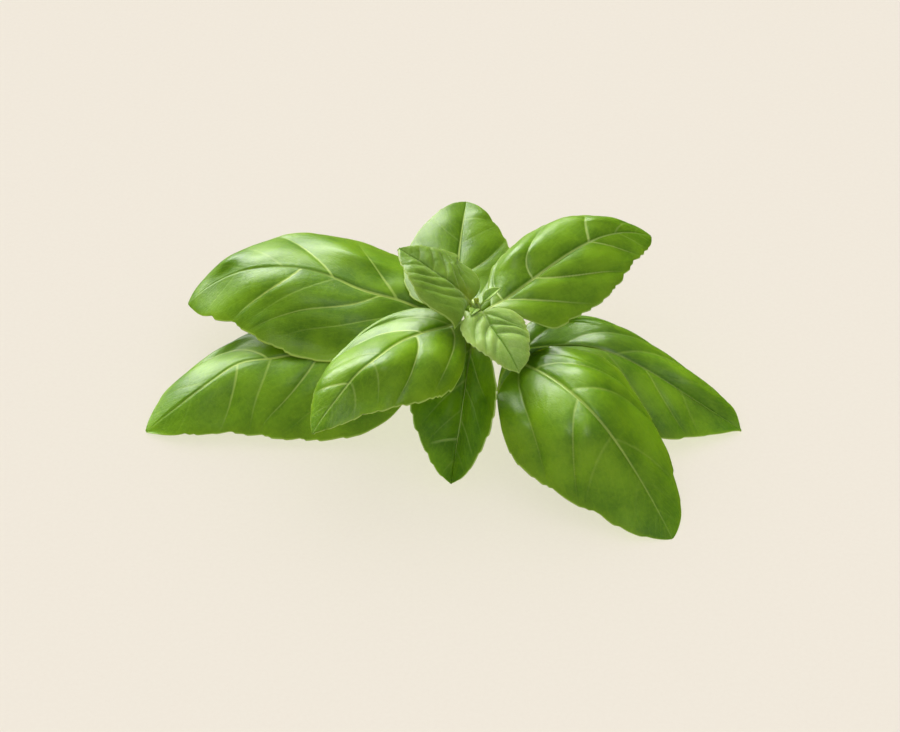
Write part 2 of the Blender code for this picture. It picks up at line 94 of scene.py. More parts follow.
# ------------------------------------------------------------------ how each leaf is finished
# Side veins, base to tip, one list a side of the midrib (left first): where the
# vein leaves the midrib, how far forward it leans, how fast it bends forward (mm,
# per mm, per mm2), how deeply it is sunk, and how high the blade puffs up between
# it and the vein before it.
VEINS = {
    "middle_leaf_left": (
        ((6, 1.4, 0.022, 0.5, 0.5), (22, 0.7, 0.063, 0.9, 0.8), (36, 0.9, 0.03, 0.3, 0.9), (46.5, 0.4, 0.065, 1.1, 0.8), (66, 0.6, 0.1, 0.15, 1.1), (76, 0.7, 0.2, 0.1, 0.5)),
        ((17.5, 1.15, -0.01, 0.9, 0.6), (37, 1.3, -0.008, 0.9, 0.9), (52, 1.2, 0.0, 0.3, 1.0), (64, 1.0, 0.05, 0.15, 0.9), (75, 0.7, 0.2, 0.1, 0.4))),
    "lower_leaf_left": (
        ((9, 0.8, 0.04, 0.5, 0.5), (28, 0.5, 0.042, 1.0, 1.0), (42, 0.4, 0.02, 0.6, 0.9), (51.5, 0.0, 0.07, 0.8, 0.8), (66, 0.7, 0.1, 0.15, 0.9), (75, 0.7, 0.2, 0.1, 0.4)),
        ((6, 0.9, 0.05, 0.6, 0.5), (24, 0.9, 0.05, 0.7, 0.8), (43, 0.8, 0.07, 1.1, 1.0), (62, 0.8, 0.1, 0.3, 1.0), (73, 0.7, 0.2, 0.1, 0.5))),
    "upper_leaf_left": (
        ((3.5, 0.0, 0.062, 1.1, 0.6), (15.3, 0.1, 0.1, 1.2, 1.1), (31, 0.2, 0.06, 0.4, 1.0), (39, 0.3, 0.08, 0.4, 0.5), (47, 0.5, 0.2, 0.2, 0.4)),
        ((3, 0.9, 0.03, 0.5, 0.4), (12.5, 1.25, 0.02, 1.1, 0.9), (27, 1.1, 0.03, 0.3, 1.0), (39.8, 0.5, 0.03, 0.8, 0.9), (47, 0.6, 0.2, 0.2, 0.4))),
    "front_leaf": (
        ((4, 0.8, 0.04, 0.5, 0.5), (13, 0.9, 0.04, 0.4, 0.6), (22, 0.9, 0.04, 0.4, 0.6), (30, 0.8, 0.08, 0.2, 0.5)),
        ((3, 0.8, 0.04, 0.4, 0.5), (11, 0.9, 0.04, 0.4, 0.6), (19, 0.9, 0.04, 0.3, 0.7), (27.3, 0.1, 0.02, 0.6, 0.6), (33, 0.7, 0.2, 0.2, 0.4))),
    "middle_leaf_right": (
        ((2.5, 0.5, 0.06, 0.6, 0.4), (10.5, 0.4, 0.04, 1.2, 0.9), (22, 0.4, 0.04, 0.8, 1.1), (39, 1.4, 0.03, 0.5, 0.8), (53, 0.8, 0.1, 0.15, 0.7), (62, 0.6, 0.2, 0.1, 0.3)),
        ((6.5, 0.1, 0.065, 1.2, 0.7), (25, 0.3, 0.06, 1.1, 1.3), (38, 0.1, 0.04, 0.5, 0.9), (52, 0.6, 0.1, 0.2, 0.6), (62, 0.6, 0.2, 0.1, 0.3))),
    "lower_leaf_right": (
        ((4, 0.8, 0.04, 1.0, 0.6), (15, 1.4, 0.02, 1.1, 1.0), (29.5, 1.2, 0.03, 0.9, 1.0), (45, 1.1, 0.05, 0.3, 0.9), (56, 1.0, 0.1, 0.2, 0.5)),
        ((3, 0.6, 0.05, 0.8, 0.5), (13, 0.9, 0.04, 0.8, 0.8), (25, 0.9, 0.04, 0.7, 0.8), (38, 0.8, 0.05, 1.1, 0.9), (50, 0.4, 0.05, 0.5, 1.0), (60, 0.7, 0.2, 0.15, 0.5))),
    "upper_leaf_right": (
        ((3.8, 0.0, 0.056, 1.0, 0.7), (15, 0.1, 0.08, 1.2, 1.0), (36.3, 0.5, 0.02, 1.0, 1.1), (46, 1.2, 0.1, 0.4, 0.6), (54, 0.7, 0.2, 0.2, 0.3)),
        ((4, 0.9, 0.03, 1.2, 0.8), (15.3, 0.7, 0.135, 1.2, 1.2), (36.5, 1.0, 0.08, 0.8, 1.2), (47, 0.7, 0.1, 0.3, 0.6), (54, 0.7, 0.2, 0.2, 0.3))),
    "back_leaf": (
        ((4, 0.7, 0.05, 0.7, 0.5), (16, 0.6, 0.06, 0.8, 0.8), (31, 0.6, 0.05, 0.4, 0.9), (43, 0.7, 0.1, 0.2, 0.5)),
        ((4, 0.4, 0.08, 0.7, 0.6), (17, 0.0, 0.1, 1.2, 0.9), (30, 0.5, 0.05, 0.3, 0.9), (41.5, 0.05, 0.0, 0.4, 0.7), (47, 0.7, 0.2, 0.1, 0.3))),
    "inner_leaf_back": (
        ((1.4, 0.6, 0.06, 0.8, 0.7), (5.4, 0.7, 0.05, 1.0, 1.0), (10.2, 0.5, 0.06, 1.2, 1.2), (15.4, 0.4, 0.08, 1.0, 1.1), (20.0, 0.6, 0.1, 0.5, 0.7)),
        ((1.2, 0.5, 0.08, 0.8, 0.7), (4.4, 0.7, 0.05, 1.1, 1.0), (8.8, 0.5, 0.05, 1.1, 1.2), (13.2, 0.4, 0.07, 1.2, 1.2), (17.8, 0.4, 0.08, 0.9, 1.0), (21.4, 0.6, 0.1, 0.4, 0.6))),
    "inner_leaf_front": (
        ((1.0, 0.9, 0.03, 0.9, 0.7), (5.0, 0.3, 0.05, 1.3, 1.2), (8.4, 0.2, 0.06, 1.2, 1.2), (13.0, 0.4, 0.08, 0.3, 0.8), (16.5, 0.6, 0.15, 0.1, 0.5)),
        ((1.4, 0.4, 0.08, 0.9, 0.8), (5.2, 0.5, 0.09, 1.2, 1.2), (9.6, 0.6, 0.07, 0.7, 1.3), (14.0, 0.7, 0.1, 0.2, 0.7), (17.0, 0.7, 0.2, 0.1, 0.4))),
    "tip_leaf_right": (
        ((0.6, 0.7, 0.1, 0.6, 0.7), (2.0, 0.8, 0.1, 0.6, 1.0), (3.6, 0.8, 0.1, 0.5, 0.8)),
        ((0.6, 0.7, 0.1, 0.6, 0.7), (2.0, 0.8, 0.1, 0.6, 1.0), (3.6, 0.8, 0.1, 0.5, 0.8))),
    "tip_leaf_left": (
        ((0.5, 0.7, 0.1, 0.6, 0.7), (1.6, 0.8, 0.1, 0.6, 1.0), (2.8, 0.8, 0.1, 0.5, 0.8)),
        ((0.5, 0.7, 0.1, 0.6, 0.7), (1.6, 0.8, 0.1, 0.6, 1.0), (2.8, 0.8, 0.1, 0.5, 0.8))),
}
# grid    mesh spacing          puff    rise between the side veins
# groove  depth of the midrib   teeth   spacing and depth at the margin
# wave    margin ripple         pucker  small unevenness (height, size)
# lines   how pale the side veins show
# rib     how pale the midrib shows near the base, and beyond this distance, fading; front_leaf's grows paler there instead, partly a painted highlight along its midrib
FINISH = {
    "middle_leaf_left": dict(grid=0.42, puff=1.1, groove=0.8, teeth=(8.5, 0.6), wave=(0.6, 22), pucker=(0.03, 3.2), lines=1.0, rib=(1.0, 36, 0.25)),
    "lower_leaf_left": dict(grid=0.42, puff=1.1, groove=0.9, teeth=(8.0, 0.6), wave=(0.55, 19), pucker=(0.03, 3.2), lines=0.9, rib=(1.0, 60, 0.5)),
    "middle_leaf_right": dict(grid=0.40, puff=1.5, groove=1.0, teeth=(8.5, 0.5), wave=(0.45, 18), pucker=(0.04, 2.6), lines=0.5, rib=(0.85, 46, 0.5), free=14),
    "lower_leaf_right": dict(grid=0.41, puff=1.2, groove=0.9, teeth=(6.5, 0.55), wave=(0.45, 16), pucker=(0.035, 3.0), lines=0.4, rib=(0.6, 30, 0.4)),
    "upper_leaf_left": dict(grid=0.33, puff=1.35, groove=1.2, teeth=(5.0, 0.55), wave=(0.4, 13), pucker=(0.05, 2.4), lines=0.9, rib=(1.0, 46, 0.7)),
    "upper_leaf_right": dict(grid=0.33, puff=1.3, groove=1.2, teeth=(4.4, 0.65), wave=(0.35, 14), pucker=(0.04, 2.8), lines=0.9, rib=(1.0, 46, 0.6)),
    # front_leaf: the midrib paleness of 1.2 beyond 12 mm is partly a painted highlight along the crease
    "front_leaf": dict(grid=0.32, puff=0.8, groove=0.25, teeth=(4.5, 0.5), wave=(0.35, 11), pucker=(0.05, 3.4), lines=0.8, rib=(0.5, 12, 1.2), lips=0.22),
    "back_leaf": dict(grid=0.34, puff=0.8, groove=1.0, teeth=(5.5, 0.35), wave=(0.3, 13), pucker=(0.03, 2.8), lines=0.6, rib=(1.0, 46, 0.6)),
    "inner_leaf_back": dict(grid=0.21, puff=1.1, groove=0.5, teeth=(2.3, 0.32), wave=(0.3, 7), pucker=(0.34, 4.2), lines=0.3, rib=(0.9, 8, 0.4)),
    "inner_leaf_front": dict(grid=0.18, puff=1.4, groove=0.8, teeth=(1.9, 0.40), wave=(0.25, 6), pucker=(0.20, 3.6), lines=0.35, rib=(0.6, 3, 0.15)),
    "tip_leaf_right": dict(grid=0.09, puff=0.12, groove=0.12, teeth=(1.0, 0.08), wave=(0.06, 2.4), pucker=(0.02, 0.6), lines=0.6, rib=(0.8, 4, 0.4)),
    "tip_leaf_left": dict(grid=0.08, puff=0.1, groove=0.1, teeth=(1.0, 0.06), wave=(0.05, 2.0), pucker=(0.02, 0.5), lines=0.6, rib=(0.8, 3, 0.4)),
}
# broad swells and hollows of the blades: distance from the base, offset from the
# midrib (left is positive), rise, and reach along and across (mm)
SWELLS = {
    "middle_leaf_right": ((6, 5, -2.6, 7, 6), (7, -4, -6.2, 8, 9), (27, 6, 2.6, 9, 6), (34, -5, 8.6, 12, 11), (14, -15, 3.2, 10, 6), (34, 8, -1.0, 9, 6), (19, 10, 1.4, 9, 7), (62, 2, -0.9, 8, 8), (20, -23, -1.6, 12, 5)),
    "lower_leaf_right": ((17, 4, -3.8, 8, 7), (54, 5, 2.8, 13, 6), (62, -9, -1.5, 8, 6), (9, 13, 1.0, 5, 4)),
    "upper_leaf_left": ((19, -8, -3.4, 9, 7), (30, 3, 4.2, 8, 7), (44, 8, -3.0, 8, 6), (12, 10, 2.8, 9, 6), (29, -11, -1.8, 7, 5), (43, -6, 0.8, 6, 5)),
    "middle_leaf_left": ((12, 5, -3.4, 9, 8), (35, -14, 3.0, 10, 8), (51, 6, 2.2, 12, 6), (22, 18, -0.6, 8, 8), (60, -4, 1.3, 8, 6), (58, -16, -0.8, 8, 6), (71, -9, 1.6, 5, 5), (73, 2, -1.6, 9, 8), (32, 22, -3.2, 18, 6)),
    "lower_leaf_left": ((50, -8, -2.0, 9, 6), (36, 11, 1.1, 9, 7), (38, 0, -1.0, 6, 5), (67, 2, 0.8, 9, 6), (60, 9, -1.2, 9, 6)),
    "upper_leaf_right": ((20, 10, 3.4, 9, 7), (46, 9, 2.0, 9, 7), (42, -8, -2.7, 11, 6), (16, -12, -1.4, 9, 6), (3, -2, -0.8, 6, 6)),
    "back_leaf": ((42, 5, 1.0, 9, 6), (46, -5, 1.2, 5, 4), (10, -5, -2.2, 9, 7), (27, -11, -2.2, 10, 6), (38, 2, 0.6, 8, 6), (18, 13, 0.8, 7, 4)),
    "front_leaf": ((5, 6, 1.2, 7, 6), (28, 11, -1.5, 8, 6), (15, 9, -2.4, 8, 5), (21, -4, 1.4, 8, 3)),
}
# swells heave the blade up and to the front, along the line of sight of the main view
HEAVE = (0.0, -0.743, 0.669)
# clear steps in the margin: side, distance from the base, depth, length (mm)
STEPS = {
    "lower_leaf_left": ((1, 37, 0.7, 8), (1, 49, 0.7, 7), (1, 60, 0.7, 7), (1, 71, 0.6, 5)),
    "middle_leaf_right": ((1, 30, 0.5, 8), (1, 43, 1.1, 9), (1, 56, 1.0, 6), (-1, 38, 0.7, 9), (-1, 52, 0.7, 7)),
    "middle_leaf_left": ((1, 44, 0.7, 9), (1, 66, 0.8, 7), (1, 75, 0.8, 5), (-1, 30, 0.5, 9), (-1, 62, 0.8, 7)),
    "upper_leaf_left": ((1, 22, 0.6, 6), (1, 34, 0.7, 6), (1, 43, 0.5, 4), (-1, 26, 0.6, 7)),
    "upper_leaf_right": ((-1, 34, 0.6, 5), (-1, 41, 0.8, 5), (-1, 47, 0.8, 5), (-1, 53, 0.7, 4), (1, 30, 0.5, 6), (1, 48, 0.5, 5)),
    "lower_leaf_right": ((1, 44, 0.6, 6), (1, 55, 0.7, 5), (1, 61, 0.7, 4), (-1, 48, 0.6, 7)),
    "back_leaf": ((-1, 34, 0.5, 5), (-1, 41, 0.5, 4), (1, 36, 0.4, 5)),
}
# the outline is fuller in places: side, distance from the base, by, over (mm)
LOBES = {
    "middle_leaf_right": ((-1, 18, 0.8, 12),),
    "front_leaf": ((1, 7, 0.7, 6),),
    "upper_leaf_right": ((-1, 9, 2.9, 5),),
    "lower_leaf_right": ((1, 9, 2.6, 6),),
    "inner_leaf_back": ((1, 2.6, 2.8, 2.6),),
    "inner_leaf_front": ((1, 18.0, 0.9, 2.2), (-1, 18.0, 0.6, 2.0)),
}
# the midrib wanders a little off the middle of the blade: at, by, over (mm)
SWAYS = {
    "middle_leaf_left": ((28, 1.6, 9),),
    "lower_leaf_left": ((51, -2.2, 7), (72, 0.9, 8)),
    "upper_leaf_left": ((44, 0.9, 8), (29, 0.7, 6)),
    "front_leaf": ((22, 0.6, 8),),
}


# ------------------------------------------------------------------ curves, as in the CAD
def smooth(x, keys, slopes_flat=False):
    xk = np.array([k[0] for k in keys], float)
    yk = np.array([k[1] for k in keys], float)
    h = np.diff(xk)
    d = np.diff(yk) / h
    m = np.zeros(len(xk))
    m[0], m[-1] = d[0], d[-1]
    for i in range(1, len(xk) - 1):
        if not slopes_flat:
            m[i] = (d[i - 1] * h[i] + d[i] * h[i - 1]) / (h[i] + h[i - 1])
        elif d[i - 1] * d[i] > 0:
            w1, w2 = 2 * h[i] + h[i - 1], h[i] + 2 * h[i - 1]
            m[i] = (w1 + w2) / (w1 / d[i - 1] + w2 / d[i])
    x = np.clip(np.asarray(x, float), xk[0], xk[-1])
    i = np.clip(np.searchsorted(xk, x, side="right") - 1, 0, len(xk) - 2)
    t = (x - xk[i]) / h[i]
    return ((2 * t**3 - 3 * t**2 + 1) * yk[i] + (t**3 - 2 * t**2 + t) * h[i] * m[i]
            + (-2 * t**3 + 3 * t**2) * yk[i + 1] + (t**3 - t**2) * h[i] * m[i + 1])


def axis_y(z):
    h = APEX_Z - z
    return LEAN_A * h + LEAN_B * h * h


def stem_radius(depth):
    r = smooth(depth, STEM_R, True)
    for z in sorted({leaf["z"] for leaf in LEAVES.values() if leaf["z"] < 43}):
        r = r + NODE_SWELL * np.exp(-((depth - (APEX_Z - z)) / 1.6) ** 2)
    return r


def section_radius(angle):
    return (np.abs(np.cos(angle)) ** CORNER + np.abs(np.sin(angle)) ** CORNER) ** (-1 / CORNER)


def stem_path():
    pts = []
    z = APEX_Z - 0.9
    while z > BEND_TOP_Z:
        pts.append((0.0, axis_y(z), z))
        z -= 1.2 if z > 36 else 1.9
    slope = LEAN_A + 2 * LEAN_B * (APEX_Z - BEND_TOP_Z)
    a0 = math.atan(slope)
    lie_z = STEM_R[-1][1]
    radius = (BEND_TOP_Z - lie_z) / (1 - math.sin(a0))
    y0 = axis_y(BEND_TOP_Z)
    steps = 11
    for i in range(steps + 1):
        a = a0 + (math.pi / 2 - a0) * i / steps
        pts.append((0.0, y0 + radius * (math.cos(a0) - math.cos(a)), BEND_TOP_Z - radius * (math.sin(a) - math.sin(a0))))
    y1 = pts[-1][1]
    for i in range(1, 6):
        t = i / 5
        pts.append((STEM_SWAY * t * t, y1 + STEM_RUN * t, lie_z))
    return pts


def midrib(leaf, s, tilt=0.0):
    """Points and frames of the midrib. s below 0 runs on straight into the stem."""
    (lp, pr), (lb, _) = leaf["petiole"], leaf["blade"]
    total = lp + lb
    base = lp / total
    key = (0.0, base, base + (1 - base) / 2, 1.0)
    fine = np.linspace(0, 1, 241)
    az = np.radians(smooth(fine, list(zip(key, leaf["heading"]))))
    pi = np.radians(smooth(fine, list(zip(key, leaf["pitch"]))) + tilt)
    step = np.stack([np.cos(pi) * np.cos(az), np.cos(pi) * np.sin(az), np.sin(pi)], -1)
    a0, p0 = az[0], pi[0]
    lean = LEAN_A + 2 * LEAN_B * (APEX_Z - leaf["z"])
    off = float(stem_radius(np.array(APEX_Z - leaf["z"]))) * float(section_radius(a0)) + GAP
    off += pr * (abs(math.sin(p0)) + lean * abs(math.sin(a0)))
    start = np.array([off * math.cos(a0), axis_y(leaf["z"]) + off * math.sin(a0), leaf["z"]])
    line = np.vstack([start, start + np.cumsum((step[1:] + step[:-1]) * 0.5 * total / 240, 0)])
    s = np.asarray(s, float)
    # the CAD's line is a fine polygon: a cubic through it keeps the surface smooth
    p = np.stack([smooth(s, list(zip(fine, line[:, i]))) for i in range(3)], -1)
    p = p + np.minimum(s, 0)[:, None] * total * step[0]
    az = np.interp(s, fine, az)
    pi = np.interp(s, fine, pi)
    ro = np.radians(smooth(s, list(zip(key[1:], leaf["roll"]))))
    along = np.stack([np.cos(pi) * np.cos(az), np.cos(pi) * np.sin(az), np.sin(pi)], -1)
    level = np.stack([-np.sin(az), np.cos(az), 0 * az], -1)
    up = np.cross(along, level)
    left = level * np.cos(ro)[:, None] + up * np.sin(ro)[:, None]
    top = up * np.cos(ro)[:, None] - level * np.sin(ro)[:, None]
    return p, along, left, top, (s - base) / (1 - base)


def half_width(leaf, tb):
    x = np.clip(tb, 0, 1) ** leaf["swell"]
    w = smooth(x, OUTLINE, True)
    w = np.where(x > 0.8, w + leaf["tip"] * np.clip((x - 0.8) / 0.2, 0, 1) * np.sqrt(np.clip(1 - x, 0, 1)), w)
    pr = leaf["petiole"][1]
    return np.where(tb < 0, pr, np.maximum(leaf["blade"][1] * w, np.maximum(pr * (1 - tb * 12), TIP_HALF)))


def mid_surface(leaf, frames, w, sign):
    """Bent half blades: w is the distance from the midrib along the blade."""
    p, along, left, top, tb = frames
    full = leaf["blade"][1]
    w = np.clip(w, 1e-6, None)
    k = np.radians(leaf["curl"]) * (w / full) ** 0.8 / w
    f = math.radians(leaf["fold"])
    th = f - k * w
    side = (math.sin(f) - np.sin(th)) / k * sign
    rise = (np.cos(th) - math.cos(f)) / k
    return p + left * side[..., None] + top * rise[..., None]


def resting_tilt(leaf):
    """The same droop as the CAD's, that lays a resting leaf on the surface."""
    lp, pr = leaf["petiole"]
    base = lp / (lp + leaf["blade"][0])
    s, v = np.meshgrid(np.concatenate([np.linspace(0, base, 5)[:-1], np.linspace(base, 1, 40)]), np.linspace(-1, 1, 15), indexing="ij")
    s, v = s.ravel(), v.ravel()
    lo, hi = -8.0, 8.0
    for _ in range(30):
        mid = (lo + hi) / 2
        fr = midrib(leaf, s, mid)
        tb = fr[4]
        hw = half_width(leaf, tb)
        w = np.abs(v) * hw
        q = mid_surface(leaf, fr, w, np.where(v < 0, -1.0, 1.0))
        flat_t = BLADE_T + (RIM_T - BLADE_T) * np.abs(v)
        if (q[:, 2] - 0.5 * flat_t * np.abs(fr[3][:, 2])).min() > 0:
            hi = mid
        else:
            lo = mid
    return hi


# ------------------------------------------------------------------ noise
def hashed(i, j, seed):
    h = (i.astype(np.int64) * 374761393 + j.astype(np.int64) * 668265263 + seed * 362437) & 0xFFFFFFFF
    h = ((h ^ (h >> 13)) * 1274126177) & 0xFFFFFFFF
    h = ((h ^ (h >> 15)) * 668265263) & 0xFFFFFFFF
    return ((h ^ (h >> 16)) & 0xFFFF) / 32767.5 - 1.0


def noise(x, y, seed):
    """Smooth value noise, -1 .. 1."""
    xi, yi = np.floor(x), np.floor(y)
    fx, fy = x - xi, y - yi
    u = fx**3 * (fx * (fx * 6 - 15) + 10)
    v = fy**3 * (fy * (fy * 6 - 15) + 10)
    a, b = hashed(xi, yi, seed), hashed(xi + 1, yi, seed)
    c, d = hashed(xi, yi + 1, seed), hashed(xi + 1, yi + 1, seed)
    return (a * (1 - u) + b * u) * (1 - v) + (c * (1 - u) + d * u) * v


def layered(x, y, seed, octaves=3):
    total, amp, norm = 0.0, 1.0, 0.0
    for k in range(octaves):
        total = total + amp * noise(x * 2**k + 17.3 * k, y * 2**k - 9.1 * k, seed + 31 * k)
        norm += amp
        amp *= 0.5
    return total / norm


def cells(x, y, seed):
    """Distances to the nearest two points of a jittered grid."""
    xi, yi = np.floor(x), np.floor(y)
    f1 = np.full(x.shape, 9.0)
    f2 = np.full(x.shape, 9.0)
    for i in (-1, 0, 1):
        for j in (-1, 0, 1):
            cx = xi + i + 0.5 + 0.42 * hashed(xi + i, yi + j, seed)
            cy = yi + j + 0.5 + 0.42 * hashed(xi + i, yi + j, seed + 7)
            d = np.hypot(x - cx, y - cy)
            f2 = np.minimum(f2, np.maximum(f1, d))
            f1 = np.minimum(f1, d)
    return f1, f2


# ------------------------------------------------------------------ meshes
def new_mesh(name, verts, quads, tris, materials, face_mat, uvs, points):
    """verts in mm. quads (n,4) and tris (n,3); uvs {name: (corners, 2)}; points {name: (verts,)}."""
    nq, nt = len(quads), len(tris)
    mesh = bpy.data.meshes.new(name)
    mesh.vertices.add(len(verts))
    mesh.vertices.foreach_set("co", (np.asarray(verts) * MM).astype(np.float32).ravel())
    loops = np.concatenate([np.asarray(quads).ravel(), np.asarray(tris).ravel()]) if nt else np.asarray(quads).ravel()
    mesh.loops.add(len(loops))
    mesh.loops.foreach_set("vertex_index", loops.astype(np.int32))
    mesh.polygons.add(nq + nt)
    start = np.concatenate([np.arange(nq) * 4, nq * 4 + np.arange(nt) * 3])
    mesh.polygons.foreach_set("loop_start", start.astype(np.int32))
    mesh.update(calc_edges=True)
    for mat in materials:
        mesh.materials.append(mat)
    mesh.polygons.foreach_set("material_index", np.asarray(face_mat, np.int32))
    mesh.shade_smooth()
    for key, uv in uvs.items():
        layer = mesh.uv_layers.new(name=key)
        layer.uv.foreach_set("vector", np.asarray(uv, np.float32).ravel())
    for key, val in points.items():
        att = mesh.attributes.new(key, "FLOAT", "POINT")
        att.data.foreach_set("value", np.asarray(val, np.float32))
    mesh.update()
    ob = bpy.data.objects.new(name, mesh)
    bpy.context.scene.collection.objects.link(ob)
    ob.location = (-ORIGIN[0] * MM, -ORIGIN[1] * MM, 0.0)
    return ob


def vein_field(table, X, eta):
    """Vein index q, spacing across the veins in mm, and strength, on one side."""
    x0 = np.array([r[0] for r in table], float)
    a = np.array([r[1] for r in table], float)
    b = np.array([r[2] for r in table], float)
    f = [x0[i] + a[i] * eta + b[i] * eta**2 for i in range(len(table))]
    for i in range(1, len(f)):
        f[i] = np.maximum(f[i], f[i - 1] + 0.12 * (x0[i] - x0[i - 1]) + 0.05)
    gap = x0[1] - x0[0]
    f = [f[0] - gap - 0.25 * eta] + f + [f[-1] + 0.9 * (x0[-1] - x0[-2]) + 0.6 * eta]
    q = np.zeros(X.shape)
    space = np.full(X.shape, gap)
    for i in range(len(f) - 1):
        d = f[i + 1] - f[i]
        u = (X - f[i]) / d
        q = q + np.clip(u, 0, 1)
        slope = (a[min(max(i, 0), len(a) - 1)] + 2 * b[min(i, len(b) - 1)] * eta)
        space = np.where((u > 0) & (u <= 1), d / np.sqrt(1 + slope**2), space)
    power = np.interp(q, np.arange(len(f)), [0.0] + [r[3] for r in table] + [0.0])
    rises = np.array([r[4] for r in table] + [0.3, 0.0])
    rise = rises[np.minimum(np.floor(q).astype(int), len(rises) - 1)]
    return q, space, power, rise


def smooth_steps(rise, q, tables, left):
    """The rise of each panel, blended over the veins between panels."""
    out = []
    for table in tables:
        keys = np.array([r[4] for r in table] + [0.3])
        out.append(np.interp(q, np.arange(len(keys)) + 0.5, keys))
    return np.where(left, out[0], out[1])


def tooth_inset(X, length, teeth, seed):
    """How far the margin steps in: forward-pointing teeth, uneven in size."""
    spacing, depth = teeth
    rng = np.random.RandomState(seed)
    at = 0.16 * length + spacing * 0.5 * rng.rand()
    keys, vals = [0.0, at * 0.6], [0.5 * depth, 0.5 * depth]
    d = 0.6 * depth
    while at < 0.97 * length:
        sp = spacing * (0.65 + 0.7 * rng.rand()) * (1.0 if at < 0.8 * length else 0.7)
        nxt = depth * (0.35 + 0.9 * rng.rand())
        keys += [at, at + 0.45 * sp, at + 0.88 * sp]
        vals += [d, 0.38 * d, 0.0]
        at += sp
        d = nxt
    keys += [at, at + spacing]
    vals += [0.4 * d, 0.3 * depth]
    fade = np.clip((length - X) / (0.05 * length), 0.0, 1.0)
    return np.interp(X, keys, vals) * fade


